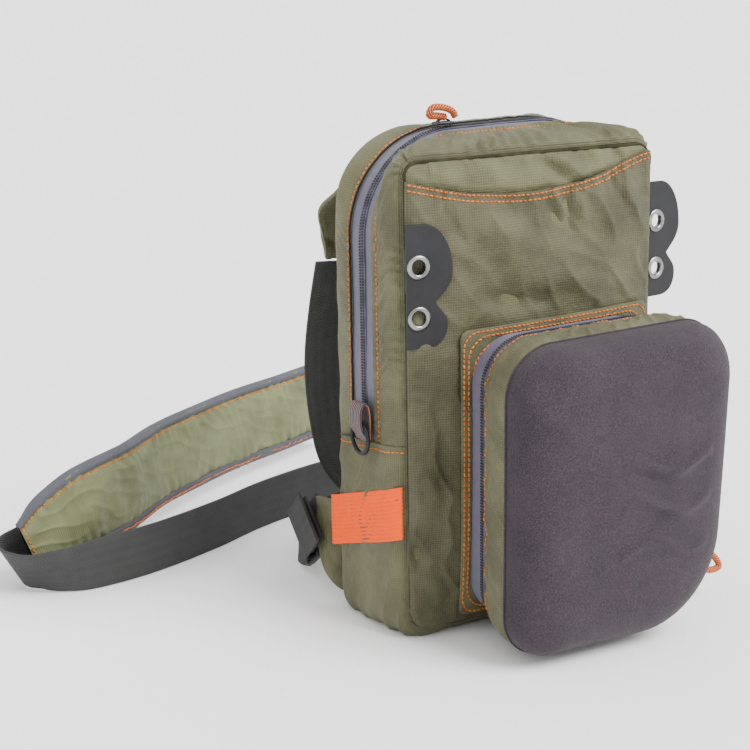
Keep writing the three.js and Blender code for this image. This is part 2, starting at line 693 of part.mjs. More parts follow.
// A zip slider as a small wedge over the coil. along: travel, out: away from the bag.
// place: share of half the length, width: share of the full width
const SLIDER = { length: 10, width: 8, height: 1.8 };
const SLIDER_ROWS = [
  { place: -1, width: 0.6 },
  { place: -0.55, width: 0.95 },
  { place: 0.4, width: 1 },
  { place: 1, width: 0.75 },
];
function slider(name, centre, along, out) {
  const across = along.clone().cross(out).normalize();
  const frames = SLIDER_ROWS.map(({ place, width }) => ({
    at: centre.clone().addScaledVector(along, (place * SLIDER.length) / 2),
    across: across.clone().multiplyScalar(width),
    through: out,
  }));
  addPiece(name, sweep(frames, rectangle(SLIDER.width, SLIDER.height)), COLOURS.black, 0.35, 0.6);
}

// A short stiff pull of doubled cord.
function cordPull(name, points, colour) {
  const path = smooth(points, 12);
  addPiece(name, sweep(framesAlong(path, vec(0.3, 1, 0.2)), circle(CORD / 2, 6)), colour);
}

function zipHardware() {
  const y = depthAt(ZIP_MIDDLE);
  const x = -0.2 * BAG_WIDTH;
  const coilTop = bodyOutline(ZIP_MIDDLE, TAPE_SINK - GAP - COIL_HEIGHT).map((p) => ({ x: p[0], z: p[1] }));
  const roofLine = coilTop.filter((p) => p.z > SEAM_TOP);
  const seat = lookUp(roofLine, "x", "z", x + SLIDER.length / 2) + GAP;
  slider("main_zip_slider", vec(x, y, seat + SLIDER.height / 2), vec(1, 0, 0), vec(0, 0, 1));
  const lift = seat + SLIDER.height + GAP + CORD / 2;
  cordPull(
    "main_zip_pull",
    [
      vec(x + 1, y, lift),
      vec(x - 4, y - 1, lift + 0.8),
      vec(x - 9.5, y - 2, lift + 1.6),
      vec(x - 8.5, y - 3, lift + 5),
      vec(x - 1.5, y - 3, lift + 5),
      vec(x + 4, y - 2.5, lift + 2.8),
      vec(x + 6, y - 2, lift + 0.2),
    ],
    COLOURS.orange,
  );
  const proud = 0.41;
  const inset = WALL_INSET * lookUp(TAPE_SECTIONS, "proud", "inset", proud);
  const level = POCKET_BASE + POCKET_HEIGHT * 0.33;
  const [edge] = lean([POCKET_CENTRE_X + POCKET_WIDTH / 2 - inset, level]);
  const side = edge + COIL_HEIGHT;
  const front = pocketY(proud, 0.3, side, level);
  slider("pocket_zip_slider", vec(side + 2 * GAP + SLIDER.height / 2, front, level), vec(0, 0, 1), vec(1, 0, 0));
  cordPull(
    "pocket_zip_pull",
    [
      vec(side + SLIDER.height + 3 * GAP + CORD / 2, front, level - 2),
      vec(side + 12, front - 2, level - 13),
      vec(side + 25, front - 5, level - 26),
      vec(side + 37, front - 7, level - 35),
      vec(side + 39, front - 8, level - 40),
      vec(side + 32, front - 8, level - 41),
      vec(side + 21, front - 7, level - 34),
    ],
    COLOURS.orange,
  );
}

// Grid between two edges given as tables of points, one row per pair.
const gridBetween = (rows) => rows.map(([a, b]) => [0, 0.5, 1].map((s) => vec(...a).lerp(vec(...b), s)));

// Cloth wing at the foot of the back, folded double, that carries the strap buckle.
const WING_ROWS = [
  { x: -62, y: 38.6, low: 7, high: 56 },
  { x: -73, y: 40.2, low: 6, high: 58 },
  { x: -78.5, y: 48, low: 14, high: 58 },
  { x: -79, y: 57, low: 31, high: 57 },
];
function lowerWing() {
  const rows = WING_ROWS.map(({ x, y, low, high }) => [
    [x, y, low],
    [x, y, high],
  ]);
  addPiece("lower_wing", sheet(gridBetween(rows), PADDED_CLOTH), COLOURS.olive);
}

// Ladder buckle: its bars lie along `bar`, the webbing runs along `run`.
const BUCKLE = { width: 34.4, length: 16, thickness: 4.4, slot: 3.4, slotAt: 3.8, tilt: 0.7, reach: 19, corner: 2 };
{
  // The buckle lies in the plane of the wing's tip, its bars turned a little from upright.
  const [before, tip] = WING_ROWS.slice(-2);
  const along = vec(tip.x - before.x, tip.y - before.y, 0).normalize();
  const up = vec(0, 0, 1);
  BUCKLE.face = along.clone().cross(up);
  BUCKLE.run = along.clone().multiplyScalar(Math.cos(BUCKLE.tilt)).addScaledVector(up, -Math.sin(BUCKLE.tilt));
  BUCKLE.bar = BUCKLE.run.clone().cross(BUCKLE.face);
  BUCKLE.centre = vec(tip.x, tip.y, (tip.low + tip.high) / 2)
    .addScaledVector(BUCKLE.face, -PADDED_CLOTH / 2)
    .addScaledVector(BUCKLE.run, BUCKLE.reach);
}
const buckleAt = (run, face) =>
  BUCKLE.centre.clone().addScaledVector(BUCKLE.run, run).addScaledVector(BUCKLE.face, face);

function buckle() {
  const shape = new THREE.Shape();
  const w = BUCKLE.width / 2;
  const l = BUCKLE.length / 2;
  const c = BUCKLE.corner;
  const rim = [
    [-w + c, -l],
    [w - c, -l],
    [w, -l + c],
    [w, l - c],
    [w - c, l],
    [-w + c, l],
    [-w, l - c],
    [-w, -l + c],
  ];
  shape.setFromPoints(rim.map(([a, b]) => new THREE.Vector2(a, b)));
  for (const at of [-BUCKLE.slotAt, BUCKLE.slotAt]) {
    const slot = rectangle(WEBBING_WIDTH + 1.6, BUCKLE.slot).map(([a, b]) => new THREE.Vector2(a, b + at));
    shape.holes.push(new THREE.Path(slot));
  }
  const plate = new THREE.ExtrudeGeometry(shape, { depth: BUCKLE.thickness, bevelEnabled: false });
  plate.translate(0, 0, -BUCKLE.thickness / 2);
  const place = new THREE.Matrix4().makeBasis(BUCKLE.bar, BUCKLE.run, BUCKLE.face).setPosition(BUCKLE.centre);
  addPiece("strap_buckle", trianglesOf(plate, place), COLOURS.black, 0.5);
  const s = BUCKLE.slotAt;
  const grip = BUCKLE.thickness / 2 + GAP + WEBBING / 2;
  const root = -BUCKLE.reach - 2;
  const anchor = [
    [root, grip + 0.2],
    [-s - 2, grip],
    [-s, grip - 1.4],
    [-s, -grip + 1.4],
    [-s - 2, -grip],
    [root, -grip - 0.2],
  ];
  const path = anchor.map(([run, face]) => buckleAt(run, face));
  const band = sweep(framesAlong(path, BUCKLE.bar), rectangle(WEBBING_WIDTH - 2, WEBBING));
  addPiece("buckle_anchor", band, COLOURS.webbing);
}

// Tab at the shoulder of the back panel that holds the upper end of the strap.
const TOP_TAB_ROWS = [
  [[-66, 36.4, 238], [-38, 36.4, 238]],
  [[-74, 38.6, 228], [-43, 37, 226]],
  [[-81, 45, 218], [-50, 43, 216]],
  [[-77, 51, 203], [-48, 51, 202]],
  [[-73, 55, 190], [-45, 55, 189]],
];

// Pad: plan position, height of its middle and width as a share of PAD_WIDTH, rounded off at its left end.
const PAD_ROUTE = [
  { at: [-217, 152.5, 26], width: 0.5 },
  { at: [-209, 152.5, 29], width: 0.7 },
  { at: [-198, 154.5, 33.5], width: 0.88 },
  { at: [-178, 163, 38], width: 1 },
  { at: [-140, 192, 38], width: 1 },
  { at: [-104, 227, 38], width: 1 },
  { at: [-69, 252, 38], width: 1 },
  { at: [-25, 280, 38], width: 1 },
  { at: [18, 301, 38], width: 1 },
  { at: [50, 318, 38], width: 1 },
  { at: [70, 328, 38], width: 1 },
];

// A point on the pad's back where the webbing is sewn on, at a place along PAD_ROUTE.
const PAD_CURVE = new THREE.CatmullRomCurve3(PAD_ROUTE.map((r) => vec(...r.at)), false, "centripetal");
function behindPad(place) {
  const share = place / (PAD_ROUTE.length - 1);
  const along = PAD_CURVE.getTangent(share);
  const off = PAD_THICKNESS / 2 + 3 * GAP + WEBBING / 2;
  const back = vec(-along.y, along.x, 0).setLength(off);
  return { at: PAD_CURVE.getPoint(share).add(back).toArray(), across: [0, 0, 1] };
}

// Routes of the webbing, centre line and direction across the ribbon.
const UPPER_ROUTE = [
  { at: [-62.5, 57.2, 187], across: [1, 0, 0] },
  { at: [-64, 64, 160], across: [1, 0, 0] },
  { at: [-64, 71, 131], across: [1, 0.05, 0] },
  { at: [-58, 80, 100], across: [1, 0.1, 0.1] },
  { at: [-46, 92, 70], across: [0.9, 0.1, 0.4] },
  { at: [-22, 104, 46], across: [0.55, 0.05, 0.8] },
  { at: [14, 114, 28], across: [0.2, 0, 0.97] },
  { at: [52, 126, 18], across: [0, 0, 1] },
  { at: [82, 150, 16], across: [0, 0, 1] },
  { at: [95, 190, 16], across: [0, 0, 1] },
  { at: [99, 240, 16], across: [0, 0, 1] },
  { at: [106, 290, 19], across: [0, 0, 1] },
  { at: [109, 322, 25], across: [0, 0, 1] },
  { at: [95, 339, 32], across: [0, 0, 1] },
  ...[10, 9.5, 9, 8.5, 8].map(behindPad),
];
const LOWER_ROUTE = [
  { at: [-66, 106, 18], across: [0.1, 0, 1] },
  { at: [-34, 130, 16], across: [0, 0, 1] },
  { at: [10, 147, 15.2], across: [0, 0, 1] },
  { at: [44, 158, 15.2], across: [0, 0, 1] },
  { at: [60, 174, 15.2], across: [0, 0, 1] },
  { at: [56, 194, 15.2], across: [0, 0, 1] },
  { at: [38, 203, 15.2], across: [0, 0, 1] },
  { at: [12, 203, 15.2], across: [0, 0, 1] },
  { at: [-14, 197, 15.2], across: [0, 0, 1] },
  { at: [-58, 180, 15.2], across: [0, 0, 1] },
  { at: [-96, 160, 15.2], across: [0, 0, 1] },
  { at: [-148, 139, 15.2], across: [0, 0, 1] },
  { at: [-182, 132, 15.2], across: [-0.05, -0.05, 1] },
  { at: [-201, 131.5, 15], across: [-0.3, -0.25, 0.92] },
  { at: [-216, 137.5, 14.5], across: [-0.6, -0.15, 0.78] },
  { at: [-224.5, 150, 14.5], across: [-0.55, 0.1, 0.83] },
  { at: [-223.5, 163, 15.5], across: [-0.35, 0.3, 0.9] },
  { at: [-210, 171, 18], across: [0, 0.2, 0.98] },
  { at: [-195, 172, 27], across: [0, 0, 1] },
  { at: [-180, 178, 36], across: [0, 0, 1] },
  ...[3.6, 3.9, 4.2, 4.6].map(behindPad),
];
function ribbonFrames(route, count) {
  const path = smooth(route.map((r) => vec(...r.at)), count);
  const across = smooth(route.map((r) => vec(...r.across)), count).map((v) => v.normalize());
  return framesAlong(path, across);
}

function strap() {
  addPiece("top_tab", sheet(gridBetween(TOP_TAB_ROWS), PADDED_CLOTH), COLOURS.olive);
  const section = rectangle(WEBBING_WIDTH, WEBBING);
  addPiece("strap_upper", sweep(ribbonFrames(UPPER_ROUTE, 34), section), COLOURS.webbing);
  const grip = BUCKLE.thickness / 2 + GAP + WEBBING / 2;
  const s = BUCKLE.slotAt;
  const tail = [
    [-24, -grip - 5],
    [-10, -grip - 3],
    [s - 3, -grip - 1.6],
    [s - 0.2, -1.8],
    [s, 2],
    [s + 1.7, grip + 0.7],
    [s + 9, grip + 0.7],
  ];
  const across = BUCKLE.bar.clone().negate().toArray();
  const start = tail.map(([run, face]) => ({ at: buckleAt(run, face).toArray(), across }));
  addPiece("strap_lower", sweep(ribbonFrames([...start, ...LOWER_ROUTE], 76), section), COLOURS.webbing);
}

// Cross section of the pad: half thickness of the foam at a distance from its middle.
const PAD_EDGE = PAD_WIDTH / 2 - 2.5;
const FOAM_RIM = 0.8; // half thickness of the foam at its edge
function foamHalf(a) {
  const bulge = 1 - Math.min(1, Math.abs(a) / PAD_EDGE) ** 4;
  return FOAM_RIM + (PAD_THICKNESS / 2 - CLOTH - GAP - FOAM_RIM) * bulge;
}
function shoulderPad() {
  const path = smooth(PAD_ROUTE.map((r) => vec(...r.at)), 16);
  const widths = smooth(PAD_ROUTE.map((r) => vec(r.width, 0, 0)), 16);
  const frames = framesAlong(path, vec(0, 0, 1));
  frames.forEach((frame, i) => frame.across.multiplyScalar(Math.min(1, widths[i].x)));
  const steps = [-1, -0.84, -0.55, 0, 0.55, 0.84, 1].map((s) => s * PAD_EDGE);
  const layer = (from, to, sign) => [
    ...steps.map((a) => [a, sign * (foamHalf(a) + to)]),
    ...steps.map((a) => [a, sign * (foamHalf(a) + from)]).reverse(),
  ];
  const foam = [...steps.map((a) => [a, foamHalf(a)]), ...steps.map((a) => [a, -foamHalf(a)]).reverse()];
  addPiece("pad_foam", sweep(frames, foam), COLOURS.webbing);
  addPiece("pad_cover", sweep(frames, layer(GAP, GAP + CLOTH, 1)), COLOURS.lining);
  addPiece("pad_backing", sweep(frames, layer(GAP, GAP + CLOTH, -1)), COLOURS.binding);
  const grip = steps[steps.length - 2];
  const wide = foamHalf(grip) + 2 * GAP + CLOTH;
  const slim = foamHalf(PAD_EDGE) + 2 * GAP + CLOTH;
  const turn = PAD_EDGE + GAP;
  for (const [name, sign] of [["pad_binding_upper", 1], ["pad_binding_lower", -1]]) {
    const half = [
      [grip, wide],
      [turn, slim],
    ];
    const skin = [
      [turn + BINDING, slim * 0.5],
      [turn + BINDING * 0.5, slim + BINDING * 0.8],
      [grip, wide + BINDING],
    ];
    const side = [...half.reverse(), ...skin.reverse()];
    const section = [...side, ...side.map(([a, b]) => [a, -b]).reverse()].map(([a, b]) => [sign * a, b]);
    addPiece(name, sweep(frames, section), COLOURS.binding);
  }
}

mainBody();
slipPocket();
eyeletTabs();
frontPocket();
pocketShell();
elasticLoop();
ringTab();
zipHardware();
lowerWing();
buckle();
strap();
shoulderPad();

export default bag;
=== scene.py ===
import math

import bpy
import numpy as np
from mathutils import Matrix, Vector


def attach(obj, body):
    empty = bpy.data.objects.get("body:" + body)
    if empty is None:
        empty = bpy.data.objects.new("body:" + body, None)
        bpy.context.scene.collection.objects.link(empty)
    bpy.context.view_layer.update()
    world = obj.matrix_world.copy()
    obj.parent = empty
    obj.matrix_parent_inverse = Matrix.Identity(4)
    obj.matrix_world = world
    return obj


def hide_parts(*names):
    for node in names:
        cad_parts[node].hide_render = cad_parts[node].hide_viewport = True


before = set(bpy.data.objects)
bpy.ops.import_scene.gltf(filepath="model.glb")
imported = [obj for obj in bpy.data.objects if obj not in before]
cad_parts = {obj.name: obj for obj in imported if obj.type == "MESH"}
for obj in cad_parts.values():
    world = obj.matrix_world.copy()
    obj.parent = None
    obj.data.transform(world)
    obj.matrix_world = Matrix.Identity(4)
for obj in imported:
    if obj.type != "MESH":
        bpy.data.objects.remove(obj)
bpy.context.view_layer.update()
MM = 0.001

# Sizes of the frame, in millimetres
BAG_WIDTH = 152
BAG_DEPTH = 68
SEAM_TOP = 249
SEAM_BASE = 6.5
TOP_RISE = 12
SIDE_SWELL = 4
TOP_RADIUS = 52
ROOF_TILT = 2
BASE_RADIUS = 14
PANEL_CROWN = 6
BACK_CROWN = 2
ZIP_END = 102
ZIP_FRONT = 0.36
ZIP_MIDDLE = 0.525
ZIP_BACK = 0.69
CLOTH = 1.2
PADDED_CLOTH = 2.4
TAPE_SINK = 0.4
TAPE_RIBS = 2.9  # radians of rib for each mm across the tape
COIL_WIDTH = 6
COIL_HEIGHT = 1.3
GAP = 0.3
LAYER_EASE = 0.2
POCKET_WIDTH = 130
POCKET_HEIGHT = 157
POCKET_CENTRE_X = 11.5
POCKET_BASE = 5
POCKET_PROUD = 56
POCKET_TUCK = 2.5
POCKET_SPLIT = POCKET_BASE + POCKET_HEIGHT * 0.36
POCKET_TAPER = 7  # the right side comes in by this at the foot
POCKET_SPREAD = 1  # and stands out by this at the top
POCKET_SKEW = 3.5  # the top edge rises by this to the right
POCKET_ZIP_MIDDLE = 0.41
WALL_INSET = 11
POCKET_CORNER = 26
SHELL_CROWN = 25
SHELL_CORNERS = (1.0, 0.95, 1.85, 0.85)  # top left, top right, base right, base left
FLANGE_WIDTH = 119
FLANGE_HEIGHT = 152
FLANGE_BORDER = 8
FLANGE_CENTRE_X = 10.5
FLANGE_BASE = 11
FLANGE_OFFSET = 2 * (CLOTH + GAP) + LAYER_EASE
EYELET_OUTER = 12.4
EYELET_HOLE = 7
EYELET_FLANGE = 0.6
EYELET_SPACING = 25.6
EYELET_DROP = 2.8
EYELET_INSET = 6.6
TAB_HEIGHT = 62
TAB_REACH = 25
TAB_THICKNESS = 1.4
TAB_LIFT = 0.4
TAB_LEVEL = 0.745  # share of the front seam's height
TAB_STAGGER = 9.5  # the right tab sits higher by this
RING_OUTER = 19
RING_WIRE = 2.2
CORD = 3.6
ELASTIC_WIDTH = 28
ELASTIC_LEVEL = 70
ELASTIC_FALL = 22
WEBBING_WIDTH = 30
WEBBING = 1.6
PAD_WIDTH = 58
PAD_THICKNESS = 9
BINDING = 1
PAD_EDGE = PAD_WIDTH / 2 - 2.5
FOAM_RIM = 0.8
SLIDER_LENGTH = 10
SLIDER_HEIGHT = 1.8

# Stitch lines: distance in from the edge of the cloth
FRONT_ZIP_STITCH = 3.4
REAR_ZIP_STITCH = 2.8
MOUTH_STITCHES = (0.9, 3.8)
LOWER_STITCH = 3
FLANGE_STITCHES = (1.6, 3.9, 6.88)
BORDER_STITCH = 2.6
BACK_STITCH = 0.055  # share of the way in to the middle
TOP_TAB_STITCH = 2.6
WING_STITCH = 3
PAD_STITCHES = {"upper": 5.0, "lower": 3.4, "lower_lift": 1.9}  # the lower line lies on the binding

# Body sections: depth share, then shares of swell, rise, drop, top radius and base radius
BODY_SECTIONS = np.array(
    [
        (0.0, 0.0, 0.0, 0.0, 0.146, 0.85),
        (0.09, 0.5, 0.38, 0.85, 0.25, 0.95),
        (0.19, 0.85, 0.66, 1.0, 0.45, 1.0),
        (0.3, 1.0, 0.82, 1.0, 0.8, 1.0),
        (0.36, 1.0, 0.88, 1.0, 0.94, 1.0),
        (0.525, 1.0, 1.0, 1.0, 1.04, 0.9),
        (0.69, 1.0, 1.0, 1.0, 1.02, 0.8),
        (0.9, 0.95, 0.95, 1.0, 0.8, 0.65),
        (1.0, 0.0, 0.3, 0.5, 0.75, 0.55),
    ]
)
# Mouth of the slip pocket: share of half the width, share of the seam height
MOUTH = np.array(
    [
        (-1, 0.958),
        (-0.83, 0.945),
        (-0.5, 0.925),
        (-0.1, 0.917),
        (0.25, 0.926),
        (0.55, 0.943),
        (0.8, 0.968),
        (1, 0.985),
    ]
)
# Pocket wall: proud share, then shares of tuck, inset and corner radius
WALL_SECTIONS = np.array(
    [
        (0.0, 0.0, 0.92, 0.95),
        (0.3, 0.2, 0.85, 0.95),
        (0.515, 0.5, 0.62, 0.95),
        (0.75, 0.75, 0.18, 1.0),
        (0.995, 1.0, 0.0, 1.0),
    ]
)
# Shell from its seam to the crown: share of the crown, share of half the width
SHELL_SECTIONS = np.array(
    [(0, 0), (0.24, 0.003), (0.48, 0.03), (0.68, 0.085), (0.83, 0.17), (0.92, 0.3), (1.0, 0.75), (1.0, 1.0)]
)
# Points on each stretch of an outline
STEPS = {"base": 34, "corner": 16, "low_side": 56, "high_side": 90, "top": 84}


def monotone(xs, ys, at):
    """Smooth value between table rows, without overshoot."""
    xs, ys, at = np.asarray(xs, float), np.asarray(ys, float), np.asarray(at, float)
    gap = np.diff(xs)
    rise = np.diff(ys) / gap
    slope = np.zeros_like(ys)
    slope[0], slope[-1] = rise[0], rise[-1]
    same = rise[:-1] * rise[1:] > 0
    before, after = rise[:-1][same], rise[1:][same]
    slope[1:-1][same] = 2 * before * after / (before + after)
    at = np.clip(at, xs[0], xs[-1])
    i = np.clip(np.searchsorted(xs, at) - 1, 0, len(gap) - 1)
    t = (at - xs[i]) / gap[i]
    keep = (1 + 2 * t) * (1 - t) ** 2 * ys[i] + t**2 * (3 - 2 * t) * ys[i + 1]
    return keep + gap[i] * (t * (1 - t) ** 2 * slope[i] - t**2 * (1 - t) * slope[i + 1])


def unit(vectors):
    return vectors / np.maximum(np.linalg.norm(vectors, axis=-1, keepdims=True), 1e-9)


def smooth_path(points, count):
    """Evenly parted points of a centripetal curve through the given ones."""
    p = np.asarray(points, float)
    p = np.vstack([2 * p[0] - p[1], p, 2 * p[-1] - p[-2]])
    place = np.linspace(0, len(points) - 1, count + 1)
    i = np.minimum(place.astype(int), len(points) - 2)
    t = (place - i)[:, None]
    p0, p1, p2, p3 = p[i], p[i + 1], p[i + 2], p[i + 3]
    pairs = ((p0, p1), (p1, p2), (p2, p3))
    d0, d1, d2 = (np.maximum(np.linalg.norm(b - a, axis=1, keepdims=True) ** 0.5, 1e-4) for a, b in pairs)
    m1 = ((p1 - p0) / d0 - (p2 - p0) / (d0 + d1) + (p2 - p1) / d1) * d1
    m2 = ((p2 - p1) / d1 - (p3 - p1) / (d1 + d2) + (p3 - p2) / d2) * d1
    ends = p1 * (1 + 2 * t) * (1 - t) ** 2 + p2 * t**2 * (3 - 2 * t)
    return ends + m1 * t * (1 - t) ** 2 - m2 * t**2 * (1 - t)


def path_length(points):
    return np.concatenate([[0], np.cumsum(np.linalg.norm(np.diff(points, axis=0), axis=1))])


def even_path(points, step):
    """The same line with points an even distance apart."""
    run = path_length(points)
    at = np.linspace(0, run[-1], max(2, int(run[-1] / step)) + 1)
    return np.stack([np.interp(at, run, points[:, k]) for k in range(3)], 1)


# Relief of cloth


def clamp(values):
    return np.clip(values, 0, 1)


def bulge(share, power):
    """Rises from 0 and falls back to it as the share runs from 0 to 1."""
    return np.sin(math.pi * clamp(share)) ** power


def ripple(a, b, pitch, seed, lean=0.0, spread=math.pi, count=26):
    """Seeded unevenness from about -1 to 1 over two coordinates, its waves running near one direction."""
    rng = np.random.default_rng(seed)
    total = np.zeros(np.broadcast(a, b).shape)
    for _ in range(count):
        angle = lean + rng.uniform(-spread, spread)
        wave = 2 * math.pi / (pitch * rng.uniform(0.6, 1.7))
        total += np.sin(wave * (a * math.cos(angle) + b * math.sin(angle)) + rng.uniform(0, 6.28))
    return total / math.sqrt(count)


def creases(a, b, pitch, seed, **lean):
    """Like ripple, but with narrow crests, as in thin coated cloth."""
    return 1 - 1.6 * np.abs(np.tanh(1.3 * ripple(a, b, pitch, seed, **lean)))


def puckers(along, off, pitch, reach, seed):
    """Small gathers square to a stitched line, fading with the distance off it."""
    bend = along + 0.4 * pitch * ripple(along, off, 5 * pitch, seed)
    strength = 0.6 + 0.4 * ripple(along, 0 * off, 4 * pitch, seed + 1)
    return strength * np.sin(2 * math.pi * bend / pitch) * np.exp(-np.abs(off) / reach)


def fold(a, b, start, end, width, height):
    """A ridge between two places, or a groove where the height is negative, dying out at its ends."""
    (ax, az), (bx, bz) = start, end
    length = math.hypot(bx - ax, bz - az)
    along = ((a - ax) * (bx - ax) + (b - az) * (bz - az)) / length**2
    across = ((a - ax) * (bz - az) - (b - az) * (bx - ax)) / length
    return height * np.exp(-((across / width) ** 2)) * bulge(along, 0.7)


def tuck(off, reach):
    """Cloth turning down into a seam."""
    return np.exp(-((off / reach) ** 2))


# Grids and meshes


class Surface:
    """A grid of points in mm with places along its rows and columns, and its outward normals."""

    def __init__(self, points, rows=None, columns=None, closed=False, flip=False):
        self.points, self.closed, self.flip = points, closed, flip
        self.rows = np.arange(points.shape[0]) if rows is None else np.asarray(rows, float)
        self.columns = np.arange(points.shape[1]) if columns is None else np.asarray(columns, float)
        self.measure()

    def measure(self):
        p = self.points
        if self.closed:
            down = np.roll(p, -1, 0) - np.roll(p, 1, 0)
        else:
            down = np.gradient(p, axis=0)
        self.normals = unit(np.cross(down, np.gradient(p, axis=1))) * (-1 if self.flip else 1)

    def relief(self, amount):
        """Moves each point along its normal by an amount in mm."""
        self.points = self.points + self.normals * amount[..., None]
        self.measure()
        return self

    def lengths(self):
        """Distance along the rows and along the columns, in mm, for each point."""
        p = self.points
        down = np.linalg.norm(np.diff(p, axis=0), axis=-1)
        across = np.linalg.norm(np.diff(p, axis=1), axis=-1)
        u = np.vstack([np.zeros((1, p.shape[1])), np.cumsum(down, 0)])
        v = np.hstack([np.zeros((p.shape[0], 1)), np.cumsum(across, 1)])
        return u, v

    def at(self, row, column, lift=0.0):
        """Points and normals at places given along the rows and the columns."""
        row, column = np.broadcast_arrays(np.asarray(row, float), np.asarray(column, float))
        r = np.interp(row, self.rows, np.arange(len(self.rows)))
        c = np.interp(column, self.columns, np.arange(len(self.columns)))
        i = np.minimum(r.astype(int), len(self.rows) - 2)
        j = np.minimum(c.astype(int), len(self.columns) - 2)
        s, t = (r - i)[:, None], (c - j)[:, None]

        def blend(grid):
            near = grid[i, j] * (1 - t) + grid[i, j + 1] * t
            far = grid[i + 1, j] * (1 - t) + grid[i + 1, j + 1] * t
            return near * (1 - s) + far * s

        normals = unit(blend(self.normals))
        return blend(self.points) + normals * lift, normals


def add_mesh(name, vertices, faces, uv, look, replaces=(), sharp=50):
    mesh = bpy.data.meshes.new(name)
    mesh.from_pydata((np.asarray(vertices) * MM).tolist(), [], np.asarray(faces).tolist())
    mesh.uv_layers.new(name="cloth").data.foreach_set("uv", np.asarray(uv, np.float32).ravel())
    mesh.polygons.foreach_set("use_smooth", [True] * len(mesh.polygons))
    mesh.set_sharp_from_angle(angle=math.radians(sharp))
    return add_object(name, mesh, look, replaces)


def add_object(name, mesh, look, replaces=()):
    slot, material = LOOKS[look]
    piece = bpy.data.objects.new(name, mesh)
    bpy.context.scene.collection.objects.link(piece)
    mesh.materials.clear()
    mesh.materials.append(material)
    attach(piece, "root")
    if replaces:
        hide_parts(*replaces)
    return piece


def grid_faces(rows, columns, closed_rows=False, closed_columns=False, flip=False):
    """Quads of a grid, and the grid places of their corners for the uv."""
    i, j = np.meshgrid(
        np.arange(rows if closed_rows else rows - 1),
        np.arange(columns if closed_columns else columns - 1),
        indexing="ij",
    )
    corners = [(i, j), (i + 1, j), (i + 1, j + 1), (i, j + 1)]
    if flip:
        corners.reverse()
    places = np.stack([np.stack(c, -1) for c in corners], -2).reshape(-1, 4, 2)
    faces = (places[..., 0] % rows) * columns + places[..., 1] % columns
    return faces, places


def grid_piece(name, points, u, v, look, closed=(False, False), flip=False, **more):
    """A mesh from a grid. u and v are mm along its rows and columns, one longer where it closes."""
    rows, columns = points.shape[:2]
    faces, places = grid_faces(rows, columns, *closed, flip=flip)
    uv = np.stack([u[places[..., 0], places[..., 1]], v[places[..., 0], places[..., 1]]], -1)
    return add_mesh(name, points.reshape(-1, 3), faces, uv, look, **more)


def with_rim(grid, normals, thickness, closed):
    """The grid with its open edges turned down by the cloth's thickness."""
    down = grid - normals * thickness
    wide = np.concatenate([down[:, :1], grid, down[:, -1:]], 1)
    if closed:
        return wide
    first, last = np.concatenate([down[:, :1], down, down[:, -1:]], 1)[[0, -1]]
    return np.concatenate([first[None], wide, last[None]], 0)


def pad_uv(values, closed, loop=None):
    """Uv of the grid and its rim, with one more row where the rows close."""
    wide = np.pad(values, ((0, 0), (1, 1)), mode="edge")
    if closed:
        return np.vstack([wide, wide[:1] if loop is None else wide[-1:] + loop])
    return np.pad(wide, ((1, 1), (0, 0)), mode="edge")


def cloth_piece(name, surface, thickness, look, uv=None, **more):
    """One layer of cloth from a surface, its edges turned down."""
    u, v = surface.lengths() if uv is None else uv
    loop = float(np.linalg.norm(surface.points[0, 0] - surface.points[-1, 0]))
    u, v = pad_uv(u, surface.closed, loop), pad_uv(v, surface.closed)
    grid = with_rim(surface.points, surface.normals, thickness, surface.closed)
    return grid_piece(name, grid, u, v, look, closed=(surface.closed, False), flip=surface.flip, **more)


def double_piece(name, surface, thickness, look, **more):
    """Cloth seen from both sides: the outer face, the edges and the inner face."""
    u, v = surface.lengths()
    outer, normals = surface.points, surface.normals
    middle = outer - normals * thickness / 2
    inner = outer - normals * thickness
    grid = np.concatenate([middle[:, :1], outer, middle[:, -1:], inner[:, ::-1]], 1)
    ends = np.concatenate([middle[:, :1], middle, middle[:, -1:], middle[:, ::-1]], 1)
    grid = np.concatenate([ends[:1], grid, ends[-1:]], 0)
    turn = v[:, -1:] + thickness
    v = np.concatenate([v[:, :1], v, turn, turn + v, 2 * turn], 1)
    u = np.concatenate([u[:, :1], u, u[:, -1:], u[:, ::-1], u[:, :1]], 1)
    u, v = (np.pad(k, ((1, 1), (0, 0)), mode="edge") for k in (u, v))
    return grid_piece(name, grid, u, v, look, closed=(False, True), flip=surface.flip, **more)


def sweep(path, across, section, closed=False):
    """Rings of a section, [across, through], carried along a path."""
    path = np.asarray(path, float)
    if closed:
        along = np.roll(path, -1, 0) - np.roll(path, 1, 0)
    else:
        along = np.gradient(path, axis=0)
    through = unit(np.cross(along, np.broadcast_to(np.asarray(across, float), path.shape)))
    across = unit(np.cross(through, along))
    section = np.asarray(section, float)
    if section.ndim == 2:
        section = np.broadcast_to(section, (len(path), *section.shape))
    return path[:, None] + across[:, None] * section[..., :1] + through[:, None] * section[..., 1:]


def swept_piece(name, path, across, section, look, closed=False, **more):
    """A solid band, tube or cord along a path, its ends closed."""
    rings = sweep(path, across, section, closed)
    run = path_length(np.vstack([path, path[:1]]) if closed else np.asarray(path))
    first = np.asarray(section, float)
    first = first[len(first) // 2] if first.ndim == 3 else first
    girth = path_length(np.vstack([first, first[:1]]))
    if not closed:
        middle = rings.mean(1, keepdims=True)
        shut = middle + (rings - middle) * 0.02  # nearly to a point
        rings = np.concatenate([shut[:1], rings, shut[-1:]], 0)
        run = np.concatenate([run[:1], run, run[-1:]])
    u, v = np.meshgrid(run, girth, indexing="ij")
    return grid_piece(name, rings, u, v, look, closed=(closed, True), **more)


